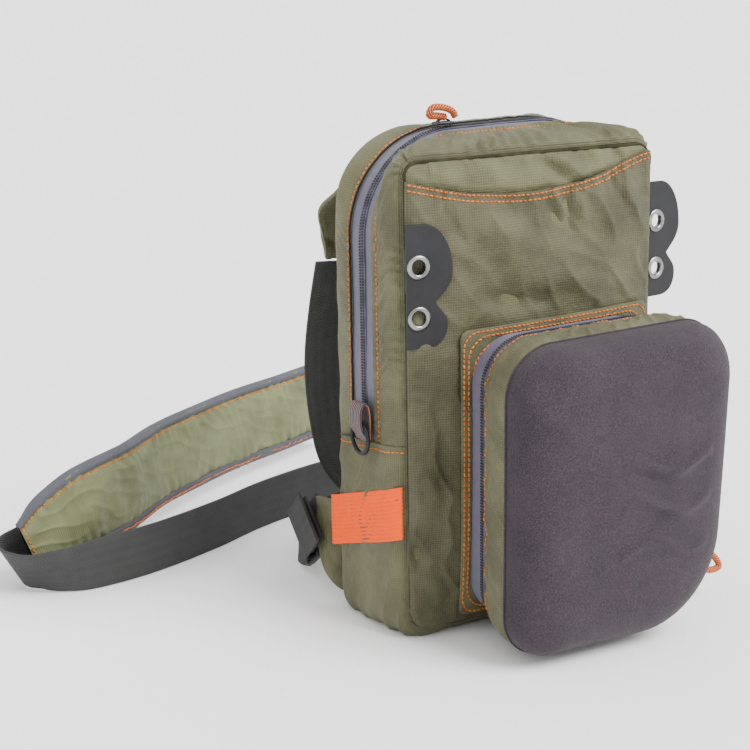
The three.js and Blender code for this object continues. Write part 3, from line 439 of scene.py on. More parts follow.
def circle(radius, sides):
    turn = np.linspace(0, 2 * math.pi, sides, endpoint=False)
    return np.stack([radius * np.cos(turn), radius * np.sin(turn)], 1)


def ribbon_section(width, thickness, steps=14):
    """Flat band with rounded edges, from the middle of one face round to itself."""
    half = thickness / 2
    turn = np.linspace(-math.pi / 2, math.pi / 2, 7)
    edge = np.stack([width / 2 - half + half * np.cos(turn), half * np.sin(turn)], 1)
    flat = np.linspace(width / 2 - half, -width / 2 + half, steps)[1:-1]
    top = np.stack([flat, np.full(len(flat), half)], 1)
    return np.concatenate([edge, top, -edge, -top])


def stitch_run(points, normals, pitch, length):
    """Middle, half run and lift direction of each stitch along a line."""
    run = path_length(points)
    count = max(1, int(round(run[-1] / pitch)))
    at = (np.arange(count) + 0.5) * run[-1] / count

    def place(values, distance):
        return np.stack([np.interp(distance, run, values[:, k]) for k in range(3)], 1)

    a, b = place(points, at - length / 2), place(points, at + length / 2)
    return (a + b) / 2, (b - a) / 2, unit(place(normals, at))


THREAD = {"pitch": 2.7, "length": 2.2, "radius": 0.45}


def stitches(name, lines, look="thread", seed=3, **sizes):
    """Thread stitches along lines, each line its points and normals on the cloth."""
    size = {**THREAD, **sizes}
    runs = [stitch_run(p, n, size["pitch"], size["length"]) for p, n in lines]
    middle, along, up = (np.concatenate(part) for part in zip(*runs))
    side = unit(np.cross(along, up))
    # rings along one stitch: place, girth and height over the cloth
    share = np.array([-1, -0.8, -0.3, 0.3, 0.8, 1])
    girth = np.array([0.35, 0.85, 1, 1, 0.85, 0.35])
    lift = np.array([-0.9, 0.05, 0.55, 0.55, 0.05, -0.9])
    ring = circle(1, 6)
    r = size["radius"]
    rng = np.random.default_rng(seed)
    skew = rng.normal(0, 0.12, (len(middle), 1, 1))
    body = middle[:, None] + along[:, None] * share[:, None] + up[:, None] * (lift * r)[:, None]
    body = body + side[:, None] * (skew * share[:, None] * size["length"] / 2)
    rings = body[:, :, None] + r * girth[:, None, None] * (
        side[:, None, None] * ring[:, :1] + up[:, None, None] * ring[:, 1:]
    )
    faces, _ = grid_faces(len(share), len(ring), closed_columns=True)
    count = len(share) * len(ring)
    faces = (faces[None] + count * np.arange(len(middle))[:, None, None]).reshape(-1, 4)
    tone = np.repeat(rng.uniform(0, 1, len(middle)), len(faces) // len(middle) * 4)
    uv = np.stack([tone, np.tile([0.0, 1.0, 1.0, 0.0], len(faces))], 1)
    return add_mesh(name, rings.reshape(-1, 3), faces, uv, look, sharp=180)


# Materials


# Words for the shader's own sockets
SOCKETS = {
    "specular": "Specular IOR Level",
    "sheen": "Sheen Weight",
    "sheen_rough": "Sheen Roughness",
    "metallic": "Metallic",
}


def opaque(colour):
    """A typed colour with its alpha. One that comes from a node stays as it is."""
    return (*colour, 1) if isinstance(colour, tuple) else colour


class Shader:
    """A node material built up from named steps. Sizes are in mm."""

    def __init__(self, name):
        self.material = bpy.data.materials.new(name)
        self.material.use_nodes = True
        self.tree = self.material.node_tree
        self.tree.nodes.clear()
        self.place = self.node("ShaderNodeTexCoord").outputs["Object"]

    def node(self, kind, inputs=None, **settings):
        made = self.tree.nodes.new(kind)
        for key, value in settings.items():
            setattr(made, key, value)
        for key, value in (inputs or {}).items():
            if isinstance(value, bpy.types.NodeSocket):
                self.tree.links.new(value, made.inputs[key])
            else:
                made.inputs[key].default_value = value
        return made

    def uv(self):
        """Distances along and across the cloth, in mm."""
        mapped = self.node("ShaderNodeUVMap", uv_map="cloth").outputs[0]
        split = self.node("ShaderNodeSeparateXYZ", {0: mapped})
        return split.outputs[0], split.outputs[1]

    def math(self, operation, a, b=0.0, c=0.0):
        return self.node("ShaderNodeMath", {0: a, 1: b, 2: c}, operation=operation).outputs[0]

    def wave(self, value, pitch, shift=0.0):
        """A sine from -1 to 1."""
        return self.math("SINE", self.math("MULTIPLY_ADD", value, 2 * math.pi / pitch, shift))

    def ridge(self, value, pitch, sharpness):
        """Narrow lines from 0 to 1, one to each pitch."""
        return self.math("POWER", self.math("ABSOLUTE", self.wave(value, 2 * pitch, math.pi / 2)), sharpness)

    def noise(self, size, detail=3.0, roughness=0.55):
        values = {"Vector": self.place, "Scale": 1 / (size * MM), "Detail": detail, "Roughness": roughness}
        return self.node("ShaderNodeTexNoise", values).outputs[0]

    def ramp(self, value, low, high):
        """0 below the low value, 1 above the high one, smooth between."""
        values = {0: value, 1: low, 2: high}
        return self.node("ShaderNodeMapRange", values, interpolation_type="SMOOTHSTEP").outputs[0]

    def mix(self, factor, a, b):
        values = {0: factor, 6: opaque(a), 7: opaque(b)}
        return self.node("ShaderNodeMix", values, data_type="RGBA").outputs[2]

    def bump(self, height, depth, before=None):
        values = {"Height": height, "Distance": depth * MM, "Strength": 1.0}
        if before is not None:
            values["Normal"] = before
        return self.node("ShaderNodeBump", values).outputs[0]

    def finish(self, colour, roughness, normal=None, **more):
        values = {"Base Color": opaque(colour), "Roughness": roughness}
        values.update({SOCKETS[word]: value for word, value in more.items()})
        if normal is not None:
            values["Normal"] = normal
        surface = self.node("ShaderNodeBsdfPrincipled", values)
        output = self.node("ShaderNodeOutputMaterial")
        self.tree.links.new(surface.outputs[0], output.inputs[0])
        return self.material


def ripstop(name, light, dark, pitch=1.3, crumple=0.3):
    """Coated nylon with a raised thread grid, satin and a little crumpled."""
    s = Shader(name)
    u, v = s.uv()
    weave = s.math("MULTIPLY", s.wave(u, 0.52), s.wave(v, 0.52))
    lines = s.math("MAXIMUM", s.ridge(u, pitch, 7), s.ridge(v, pitch, 7))
    height = s.math("MULTIPLY_ADD", weave, 0.25, lines)
    crease = s.noise(9, 5.0, 0.6)
    normal = s.bump(height, 0.09, s.bump(crease, crumple))
    mottle = s.ramp(s.noise(30, 4.0), 0.3, 0.7)
    tone = s.math("MULTIPLY_ADD", lines, 0.36, s.math("MULTIPLY_ADD", mottle, 0.36, 0.12))
    tone = s.math("MULTIPLY_ADD", s.noise(0.7, 2.0), 0.16, tone)
    rough = s.math("MULTIPLY_ADD", crease, 0.2, 0.46)
    return s.finish(s.mix(tone, dark, light), rough, normal, sheen=0.06, sheen_rough=0.4, specular=0.25)


def tape_material():
    """Woven zip tape: fine twill, faint lines along its length."""
    s = Shader("zip_tape_weave")
    u, v = s.uv()
    twill = s.wave(s.math("ADD", u, v), 0.8)
    lines = s.wave(v, 1.1)
    height = s.math("ADD", s.math("MULTIPLY", twill, 0.5), s.math("MULTIPLY", lines, 0.4))
    tone = s.math("MULTIPLY_ADD", height, 0.22, s.math("MULTIPLY_ADD", s.noise(4, 4.0), 0.5, 0.25))
    colour = s.mix(tone, (0.055, 0.052, 0.08), (0.14, 0.132, 0.19))
    return s.finish(colour, 0.75, s.bump(height, 0.07), sheen=0.1)


def plain(name, light, dark, roughness, size=2.0, depth=0.03, specular=0.4, **more):
    """Moulded or cast surface: fine unevenness, wear in larger patches."""
    s = Shader(name)
    grain = s.noise(size, 5.0, 0.65)
    wear = s.ramp(s.noise(size * 9, 3.0), 0.35, 0.75)
    rough = s.math("MULTIPLY_ADD", wear, 0.14, roughness)
    colour = s.mix(s.math("MULTIPLY_ADD", grain, 0.5, wear), dark, light)
    return s.finish(colour, rough, s.bump(grain, depth), specular=specular, **more)


def shell_material():
    """Dense knit laminated on foam: tiny loops with pale and dark flecks."""
    s = Shader("shell_knit")
    u, v = s.uv()
    loops = s.math("MULTIPLY", s.wave(u, 0.9), s.wave(s.math("MULTIPLY_ADD", u, 0.5, v), 0.8))
    fleck = s.noise(0.8, 4.0, 0.75)
    tone = s.math("MULTIPLY_ADD", s.ramp(fleck, 0.34, 0.68), 0.62, s.math("MULTIPLY", s.noise(22, 3.0), 0.45))
    height = s.math("MULTIPLY_ADD", fleck, 0.9, loops)
    colour = s.mix(tone, (0.008, 0.0055, 0.008), (0.06, 0.043, 0.056))
    return s.finish(colour, 0.75, s.bump(height, 0.12), sheen=0.1, sheen_rough=0.3, specular=0.25)


def thread_material():
    """Thick orange thread, its tone varying from stitch to stitch."""
    s = Shader("orange_thread")
    u, v = s.uv()
    twist = s.wave(s.math("ADD", s.math("MULTIPLY", v, 6.0), u), 1.0)
    tone = s.math("MULTIPLY_ADD", twist, 0.15, s.math("MULTIPLY_ADD", u, 0.6, 0.2))
    return s.finish(s.mix(tone, (0.5, 0.07, 0.0), (0.95, 0.26, 0.015)), 0.6, s.bump(twist, 0.03))


def elastic_material():
    """Ribbed elastic: tight cross threads between the ribs."""
    s = Shader("orange_elastic")
    u, _ = s.uv()
    cross = s.wave(u, 0.8)
    tone = s.math("MULTIPLY_ADD", cross, 0.12, s.math("MULTIPLY_ADD", s.noise(3, 4.0), 0.5, 0.3))
    return s.finish(s.mix(tone, (0.8, 0.05, 0.0), (1.0, 0.11, 0.0)), 0.7, s.bump(cross, 0.05), specular=0.2)


def webbing_material(name, light, dark, pitch=1.5):
    """Flat webbing: slanted ribs in rows, turned about from row to row."""
    s = Shader(name)
    u, v = s.uv()
    zigzag = s.node("ShaderNodeMath", {0: v, 1: pitch * 2}, operation="PINGPONG").outputs[0]
    ribs = s.wave(s.math("ADD", u, zigzag), pitch)
    rows = s.ridge(v, pitch, 4)
    height = s.math("MULTIPLY_ADD", rows, -0.5, ribs)
    tone = s.math("MULTIPLY_ADD", ribs, 0.28, s.math("MULTIPLY_ADD", s.noise(12, 4.0), 0.4, 0.3))
    return s.finish(s.mix(tone, dark, light), 0.62, s.bump(height, 0.16), specular=0.2)


def sheet_material():
    """Coated black sheet with a fine leather grain."""
    s = Shader("black_sheet_grain")
    cells = s.node("ShaderNodeTexVoronoi", {"Vector": s.place, "Scale": 1 / (0.9 * MM)}).outputs[0]
    wear = s.noise(11, 4.0)
    colour = s.mix(wear, (0.008, 0.008, 0.0095), (0.022, 0.022, 0.025))
    rough = s.math("MULTIPLY_ADD", wear, 0.2, 0.42)
    return s.finish(colour, rough, s.bump(cells, 0.05), specular=0.25)


def cord_material():
    """Braided cord: two slanted strand families, one paler."""
    s = Shader("orange_braid")
    u, v = s.uv()
    one = s.wave(s.math("MULTIPLY_ADD", v, 0.9, u), 1.6)
    two = s.wave(s.math("MULTIPLY_ADD", v, -0.9, u), 1.6)
    height = s.math("MAXIMUM", one, two)
    fleck = s.ramp(one, 0.55, 0.9)
    body = s.mix(s.ramp(two, -0.6, 0.8), (0.3, 0.008, 0.004), (0.55, 0.06, 0.004))
    return s.finish(s.mix(fleck, body, (0.6, 0.3, 0.06)), 0.6, s.bump(height, 0.22))


def striped_material():
    """Grey tape with narrow orange and pale stripes along it."""
    s = Shader("striped_tape")
    u, v = s.uv()
    weave = s.wave(u, 0.9)
    pale = s.ridge(v, 1.6, 5)
    orange = s.ridge(s.math("ADD", v, 1.6), 4.8, 60)
    body = s.mix(pale, (0.018, 0.018, 0.024), (0.17, 0.17, 0.2))
    return s.finish(s.mix(orange, body, (0.5, 0.1, 0.01)), 0.7, s.bump(weave, 0.1))


def mesh_material():
    """Spacer mesh of the pad's back: rows of round holes."""
    s = Shader("pad_mesh")
    u, v = s.uv()
    holes = s.math("MULTIPLY", s.wave(u, 3.2), s.wave(v, 3.2))
    # The holes are coloured darker than the mesh between them: painted shade inside the holes.
    dark = s.ramp(holes, 0.1, 0.6)
    return s.finish(s.mix(dark, (0.03, 0.031, 0.035), (0.004, 0.004, 0.005)), 0.85, s.bump(dark, -0.4))


# Light and dark tone of each material that is made from two colours alone
OLIVE = ((0.15, 0.148, 0.076), (0.025, 0.022, 0.01))
# Tones of the slip pocket: the olive ripstop made darker all over, as painted shade.
SLIP_SHADED = ((0.112, 0.108, 0.058), (0.019, 0.017, 0.008))
PAD = ((0.215, 0.24, 0.115), (0.065, 0.07, 0.029))
# Tones of the seam welts: dark olive, a painted shadow in the seam grooves.
SEAM_SHADOW = ((0.04, 0.037, 0.018), (0.015, 0.014, 0.007))
COIL = ((0.095, 0.09, 0.125), (0.042, 0.04, 0.058))
# Tones of the dark dashes on the zip coils: painted shade between the coil's turns.
COIL_GAP_SHADE = ((0.022, 0.021, 0.028), (0.007, 0.007, 0.009))
METAL = ((0.05, 0.05, 0.055), (0.015, 0.015, 0.018))
NICKEL = ((0.3, 0.3, 0.295), (0.15, 0.15, 0.155))
PLASTIC = ((0.012, 0.012, 0.014), (0.005, 0.005, 0.006))
# Tones of the painted shadow along the rear edge of the main zip tape.
EDGE_SHADOW = ((0.01, 0.01, 0.011), (0.004, 0.004, 0.0045))
WEBBING_GREY = ((0.07, 0.072, 0.07), (0.018, 0.018, 0.019))
GROSGRAIN = ((0.14, 0.143, 0.165), (0.05, 0.052, 0.066))

# Slot and material of each look
LOOKS = {
    "olive": ("olive_ripstop", ripstop("olive_ripstop", *OLIVE, crumple=1.5)),
    "slip": ("olive_ripstop", ripstop("slip_ripstop_painted_shade", *SLIP_SHADED, crumple=1.5)),
    "pad": ("olive_ripstop", ripstop("pad_ripstop", *PAD, crumple=0.6)),
    "seam": ("olive_ripstop", plain("seam_shadow", *SEAM_SHADOW, 0.8, 1.0, specular=0.1)),
    "tape": ("zip_tape", tape_material()),
    "coil": ("zip_coil", plain("zip_coil", *COIL, 0.55, 0.8, specular=0.2)),
    "coil_gap_shade": ("zip_coil", plain("zip_gap_shade", *COIL_GAP_SHADE, 0.4, 0.6)),
    "metal": ("slider_metal", plain("slider_metal", *METAL, 0.3, 1.5, metallic=0.8)),
    "thread": ("orange_cord", thread_material()),
    "cord": ("orange_cord", cord_material()),
    "shell": ("shell_fabric", shell_material()),
    "sheet": ("black_sheet", sheet_material()),
    "nickel": ("eyelet_metal", plain("eyelet_nickel", *NICKEL, 0.24, 1.2, 0.01, metallic=1.0)),
    "elastic": ("orange_elastic", elastic_material()),
    "striped": ("striped_tape", striped_material()),
    "plastic": ("black_plastic", plain("black_plastic", *PLASTIC, 0.35, 0.6, 0.02, specular=0.25)),
    "webbing": ("webbing", webbing_material("webbing_weave", *WEBBING_GREY)),
    "mesh": ("pad_mesh", mesh_material()),
    "binding": ("binding", webbing_material("binding_grosgrain", *GROSGRAIN, 0.9)),
    "edge": ("zip_coil", plain("zip_edge_shadow", *EDGE_SHADOW, 0.6, 1.0, specular=0.15)),
}


# Camera, floor and light

SENSOR_WIDTH = 36
CAMERA = {"eye": (-499.0, -747.4, 336.0), "turn": 29.6, "pitch": 13.1, "roll": -1.1, "lens": 81.95}


def set_camera():
    data = bpy.data.cameras.new("photo_camera")
    data.lens, data.sensor_width = CAMERA["lens"], SENSOR_WIDTH
    turn, pitch, roll = (math.radians(CAMERA[k]) for k in ("turn", "pitch", "roll"))
    forward = Vector((math.sin(turn) * math.cos(pitch), math.cos(turn) * math.cos(pitch), -math.sin(pitch)))
    right = Vector((math.cos(turn), -math.sin(turn), 0))
    up = right.cross(forward)
    right, up = right * math.cos(roll) + up * math.sin(roll), up * math.cos(roll) - right * math.sin(roll)
    camera = bpy.data.objects.new("photo_camera", data)
    turned = Matrix((right, up, -forward)).transposed().to_4x4()
    camera.matrix_world = Matrix.Translation(Vector(CAMERA["eye"]) * MM) @ turned
    bpy.context.scene.collection.objects.link(camera)
    bpy.context.scene.camera = camera


KEY = {"towards": (0.35, -0.6, 0.72), "strength": 5.0, "spread": 35}
SURROUND = 1.6
FLOOR_REACH = 60  # metres


def add_key_light():
    """A soft even light from above, to the front and right."""
    data = bpy.data.lights.new("key", "SUN")
    data.energy, data.angle = KEY["strength"], math.radians(KEY["spread"])
    light = bpy.data.objects.new("key", data)
    light.rotation_mode = "QUATERNION"
    light.rotation_quaternion = Vector(KEY["towards"]).to_track_quat("Z", "Y")
    bpy.context.scene.collection.objects.link(light)


def set_stage():
    s = Shader("pale_floor")
    floor = s.finish(s.mix(s.noise(300, 3.0), (0.9, 0.9, 0.9), (0.94, 0.94, 0.94)), 0.9)
    mesh = bpy.data.meshes.new("floor")
    corners = [(x * FLOOR_REACH, y * FLOOR_REACH, 0) for x, y in ((-1, -1), (1, -1), (1, 1), (-1, 1))]
    mesh.from_pydata(corners, [], [(0, 1, 2, 3)])
    mesh.materials.append(floor)
    obj = bpy.data.objects.new("floor", mesh)
    bpy.context.scene.collection.objects.link(obj)
    world = bpy.data.worlds.new("studio")
    world.use_nodes = True
    world.node_tree.nodes["Background"].inputs[0].default_value = (1, 1, 1, 1)
    world.node_tree.nodes["Background"].inputs[1].default_value = SURROUND
    bpy.context.scene.world = world
    add_key_light()


# Main body


def arc(x, z, radius, start, steps):
    angle = np.radians(start - 90 * np.arange(steps) / steps)
    return np.stack([x + radius * np.cos(angle), z + radius * np.sin(angle)], 1)


def line(a, b, steps):
    share = np.arange(steps)[:, None] / steps
    return np.asarray(a) * (1 - share) + np.asarray(b) * share


def outline(left, right, base, top, split, corners):
    """Rounded rectangle in x and z, from the middle of the base leftwards."""
    tl, tr, br, bl = corners
    middle = (left + right) / 2
    base_steps, turn_steps, low_steps, high_steps, top_steps = STEPS.values()
    return np.concatenate(
        [
            line((middle, base), (left + bl, base), base_steps),
            arc(left + bl, base + bl, bl, 270, turn_steps),
            line((left, base + bl), (left, split), low_steps),
            line((left, split), (left, top - tl), high_steps),
            arc(left + tl, top - tl, tl, 180, turn_steps),
            line((left + tl, top), (right - tr, top), top_steps),
            arc(right - tr, top - tr, tr, 90, turn_steps),
            line((right, top - tr), (right, split), high_steps),
            line((right, split), (right, base + br), low_steps),
            arc(right - br, base + br, br, 0, turn_steps),
            line((right - br, base), (middle, base), base_steps),
        ]
    )


SPLIT_LEFT = STEPS["base"] + STEPS["corner"] + STEPS["low_side"]
SPLIT_RIGHT = SPLIT_LEFT + 2 * STEPS["high_side"] + 2 * STEPS["corner"] + STEPS["top"]
LOOP = 2 * (STEPS["base"] + STEPS["low_side"] + STEPS["high_side"]) + 4 * STEPS["corner"] + STEPS["top"]


def body_outline(depth, inset=0.0):
    swell, rise, drop, top_radius, base_radius = (
        float(monotone(BODY_SECTIONS[:, 0], BODY_SECTIONS[:, k], depth)) for k in range(1, 6)
    )
    half = BAG_WIDTH / 2 + SIDE_SWELL * swell - inset
    top_radius = TOP_RADIUS * top_radius - inset
    base_radius = BASE_RADIUS * base_radius - inset
    top, split = SEAM_TOP + TOP_RISE * rise - inset, ZIP_END + 3 - 6 * depth
    radii = (top_radius, top_radius, base_radius, base_radius)
    section = outline(-half, half, SEAM_BASE * (1 - drop) + inset, top, split, radii)
    up = np.clip((section[:, 1] - split) / (top - split), 0, None)
    section[:, 1] += ROOF_TILT * rise * section[:, 0] / half * up**2
    return section


def gusset(start, end, step, indices, inset=0.0):
    """Surface round the body between two distances from the front seam, in mm."""
    depths = np.linspace(start, end, max(2, int(round((end - start) / step))) + 1)
    sections = [body_outline(d / BAG_DEPTH, inset)[np.asarray(indices) % LOOP] for d in depths]
    x, z = np.stack(sections, 1).transpose(2, 0, 1)
    y = np.broadcast_to(depths - BAG_DEPTH / 2, x.shape)
    return Surface(np.stack([x, y, z], -1), columns=depths)


UPPER = np.arange(SPLIT_LEFT, SPLIT_RIGHT + 1)
LOWER = np.arange(SPLIT_RIGHT, LOOP + SPLIT_LEFT + 1)


def along_and_depth(surface):
    """Distance round the body and distance from the front seam, for each point."""
    u, _ = surface.lengths()
    run = np.repeat(u[:, u.shape[1] // 2][:, None], u.shape[1], 1)
    return run, np.broadcast_to(surface.columns, run.shape)


# Where the two top corners lie along the upper strips, in mm from their left end
TOP_CORNERS = (152, 297)


def front_strip():
    start, end = CLOTH + GAP, ZIP_FRONT * BAG_DEPTH + 0.1
    surface = gusset(start, end, 0.9, UPPER)
    run, depth = along_and_depth(surface)
    seam, edge = depth - start, end - depth
    stitch = edge - FRONT_ZIP_STITCH
    pillow = bulge(seam / (end - 5), 0.8)
    corner = sum(tuck(run - at, 16) for at in TOP_CORNERS)
    wrinkles = 0.8 * creases(run, depth, 17, 11, lean=0.35, spread=0.5)
    amount = pillow - 1.5 * tuck(seam, 1.7) - 0.35 * tuck(stitch, 0.8) + 0.75 * clamp(1 - edge / 3.2)
    amount += pillow * (wrinkles + 0.5 * ripple(run, depth, 26, 12))
    amount += 1.5 * puckers(run, seam, 7.5, 7.5, 13) * clamp(seam / 2)
    amount += 0.8 * puckers(run, stitch, 6, 5, 15)
    amount += corner * pillow * creases(run, depth, 11, 16, lean=0.15, spread=0.4)
    surface.relief(amount)
    cloth_piece("front_strip_cloth", surface, CLOTH, "olive", replaces=["front_gusset_strip"])
    stitches("front_zip_stitches", [surface.at(surface.rows, end - FRONT_ZIP_STITCH)])


def rear_strip():
    start, end = ZIP_BACK * BAG_DEPTH - 0.1, BAG_DEPTH - PADDED_CLOTH - GAP
    surface = gusset(start, end, 0.9, UPPER)
    run, depth = along_and_depth(surface)
    edge, seam = depth - start, end - depth
    stitch = edge - REAR_ZIP_STITCH
    pillow = bulge(seam / (end - start - 3), 0.8)
    amount = 0.9 * pillow - 1.2 * tuck(seam, 1.6) - 0.3 * tuck(stitch, 0.8) + 0.9 * clamp(1 - edge / 3)
    amount += 0.4 * puckers(run, stitch, 6.5, 5, 21) + 0.35 * ripple(run, depth, 22, 22) * pillow
    surface.relief(amount)
    cloth_piece("rear_strip_cloth", surface, CLOTH, "olive", replaces=["rear_gusset_strip"])
    stitches("rear_zip_stitches", [surface.at(surface.rows, start + REAR_ZIP_STITCH)], seed=5)
    # A near-black tube along the tape's rear edge: painted shadow under the strip's raised lip.
    path, _ = surface.at(surface.rows, start + 0.2, lift=-0.35)
    swept_piece("rear_zip_edge_shadow", even_path(path, 1.5), (0, 1, 0), circle(0.6, 6), "edge")


def main_zip():
    surface = gusset(ZIP_FRONT * BAG_DEPTH - 1.2, ZIP_BACK * BAG_DEPTH + 1.2, 1.0, UPPER, TAPE_SINK)
    run, depth = along_and_depth(surface)
    middle = ZIP_MIDDLE * BAG_DEPTH
    surface.relief(0.12 * np.cos(depth * TAPE_RIBS) + 0.3 * ripple(run, depth, 60, 31) - 0.3)
    cloth_piece("main_tape_cloth", surface, 1.0, "tape", replaces=["main_zip_tape"])
    band = gusset(middle - COIL_WIDTH / 2, middle + COIL_WIDTH / 2, 0.5, UPPER, TAPE_SINK - 0.3)
    _, depth = along_and_depth(band)
    across = (depth - middle) / (COIL_WIDTH / 2)
    band.relief(0.55 * np.sqrt(clamp(1 - across**2)) - 0.55 * tuck(depth - middle + 0.6, 0.35))
    cloth_piece("main_coil_band", band, 1.0, "coil", replaces=["main_zip_coil"])
    rows = band.rows[::2]
    # Near-black dashes along the coil: painted shade between its turns.
    shade_dashes = [band.at(rows, middle + side, lift=0.05) for side in (-1.7, 0.7)]
    stitches("main_zip_gap_shade", shade_dashes, "coil_gap_shade", pitch=1.5, length=1.0, radius=0.55)


def lower_gusset():
    start, end = CLOTH + GAP, BAG_DEPTH - PADDED_CLOTH - GAP
    surface = gusset(start, end, 1.1, LOWER)
    run, depth = along_and_depth(surface)
    total = run[-1:, :]
    seam, back = depth - start, end - depth
    hem = np.minimum(run, total - run)
    stitch = hem - LOWER_STITCH
    under = clamp(4 * clamp(1 - np.abs(surface.points[..., 0]) / (BAG_WIDTH / 2 - 12)))
    amount = 1.3 * bulge(seam / (end - start), 0.6)
    amount += 0.5 * tuck(hem, 1.5) - 1.5 * tuck(seam, 1.7) - 1.3 * tuck(back, 1.7) - 0.35 * tuck(stitch, 0.9)
    amount += 1.4 * creases(run, depth, 26, 41, lean=0.9, spread=0.5) * clamp(seam / 5)
    amount += 0.8 * puckers(run, seam, 9, 7, 42) * clamp(seam / 2)
    amount += 0.3 * puckers(depth, stitch, 7, 5, 43)
    amount += fold(run - total, depth, (-18, 5), (-30, 40), 4, 0.9)
    surface.relief(amount * (1 - 0.9 * under))
    surface.points[..., 2] = np.maximum(surface.points[..., 2], 0.1)
    cloth_piece("lower_gusset_cloth", surface, CLOTH, "olive", replaces=["lower_gusset"])
    spread = np.linspace(start + 1, end - 1, 60)
    lines = [surface.at(row, spread) for row in (surface.rows[0] + 2, surface.rows[-1] - 2)]
    stitches("zip_end_stitches", lines, seed=7)


# Seam welts: share of the body's depth, inset, y and radius
WELTS = {
    "front_seam_welt": (0.012, 1.5, -BAG_DEPTH / 2 + 0.9, 0.9),
    "back_seam_welt": (0.975, 1.6, BAG_DEPTH / 2 - 1.8, 1.7),
}


def seam_welt(name, depth, inset, y, radius):
    """Rolled seam allowance that fills the groove between two panels."""
    section = body_outline(depth, inset)
    path = np.stack([section[:, 0], np.full(len(section), y), section[:, 1]], 1)
    path[:, 2] = np.maximum(path[:, 2], radius + 0.4)
    # The welt is real seam allowance; its dark olive colour is a painted shadow of the groove.
    swept_piece(name, path, (0, 1, 0), circle(radius, 10), "seam", closed=True)


def crown_at(x, z, crown=PANEL_CROWN):
    a = np.minimum(1, np.abs(x) / (BAG_WIDTH / 2))
    b = np.minimum(1, np.abs(z - (SEAM_TOP + SEAM_BASE) / 2) / ((SEAM_TOP - SEAM_BASE) / 2))
    return crown * (1 - a**3) * (1 - b**4)


def panel_y(x, z):
    return -BAG_DEPTH / 2 - crown_at(x, z)


# Rows of column_heights
FOOT, MOUTH_LINE, HEAD = range(3)


def column_heights(side):
    """Foot, mouth and head of the front panel at shares of half its width."""
    half = BAG_WIDTH / 2

    def rounding(radius):
        past = np.maximum(0, np.abs(side) * half - (half - radius))
        return radius - np.sqrt(np.maximum(0, radius**2 - past**2))

    foot = SEAM_BASE + rounding(BASE_RADIUS * BODY_SECTIONS[0, 5])
    mouth = SEAM_BASE + (SEAM_TOP - SEAM_BASE) * monotone(MOUTH[:, 0], MOUTH[:, 1], side)
    head = SEAM_TOP - rounding(TOP_RADIUS * BODY_SECTIONS[0, 4])
    return foot, np.minimum(mouth, head - 1), head


def rim_distance(x, z):
    """Distance in from the rim of the front panel."""
    foot, _, head = column_heights(np.clip(x / (BAG_WIDTH / 2), -1, 1))
    return np.minimum(np.minimum(z - foot, head - z), BAG_WIDTH / 2 - np.abs(x))


def front_surface(sides, levels, low, high, offset):
    """Surface on the front between two of foot, mouth and head, at shares of half the width."""
    heights = column_heights(sides)
    x = np.repeat(sides[:, None] * BAG_WIDTH / 2, len(levels), 1)
    z = heights[low][:, None] * (1 - levels) + heights[high][:, None] * levels
    return Surface(np.stack([x, panel_y(x, z) - offset, z], -1), rows=sides, columns=levels), x, z


# Folds of the front cloth: from x, z to x, z, half width and height
SLIP_FOLDS = [
    ((17, 229), (21, 206), 3.0, -1.5),
    ((24, 229), (30, 208), 3.5, 1.1),
    ((4, 226), (18, 205), 3.5, -1.2),
    ((-30, 220), (8, 196), 7, 1.3),
    ((-58, 222), (-20, 190), 6, -1.2),
    ((-66, 205), (-40, 170), 7, 0.9),
    ((48, 236), (56, 214), 3.2, -1.1),
    ((60, 236), (64, 210), 4, 0.9),
    ((-10, 186), (60, 176), 6, 0.8),
    ((-40, 178), (10, 172), 5, -0.9),
    ((-70, 160), (-52, 110), 5, 1.0),
    ((-60, 150), (-56, 60), 5, -0.9),
    ((-74, 96), (-58, 76), 5, 0.9),
    ((-72, 40), (-54, 22), 5, 1.0),
]
UPPER_FOLDS = [
    ((2, 246), (22, 232), 3.2, -1.6),
    ((12, 247), (34, 231), 3.8, 1.5),
    ((-30, 244), (-14, 231), 5, 0.9),
    ((50, 247), (58, 238), 3, -0.9),
    ((-62, 243), (-44, 235), 4, 0.8),
]


def front_panel():
    """The panel behind the slip pocket: loose above the pocket's mouth, flat below it."""
    sides = np.linspace(-1, 1, 151)
    levels = np.concatenate([np.linspace(0, 0.86, 20), np.linspace(0.87, 1, 60)])
    surface, x, z = front_surface(sides, levels, FOOT, HEAD, 0)
    rim = rim_distance(x, z)
    free = clamp((z - 205) / 20)
    amount = 1.7 * (1 - tuck(rim, 7)) + 0.5 * ripple(x, z, 24, 51) + 0.7 * puckers(x, rim, 8, 7, 52)
    amount = free * amount + 1.6 * free * sum(fold(x, z, *row) for row in UPPER_FOLDS)
    amount = np.where(rim < 2.5, np.minimum(amount, 0.3), amount) - 1.4 * tuck(rim, 1.7)
    mouth = column_heights(sides)[MOUTH_LINE][:, None]
    below = clamp((mouth + 3 - z) / 5)
    surface.relief(amount * (1 - below) - 0.8 * below)
    cloth_piece("front_panel_cloth", surface, CLOTH, "olive", uv=(x, z), replaces=["front_panel"])


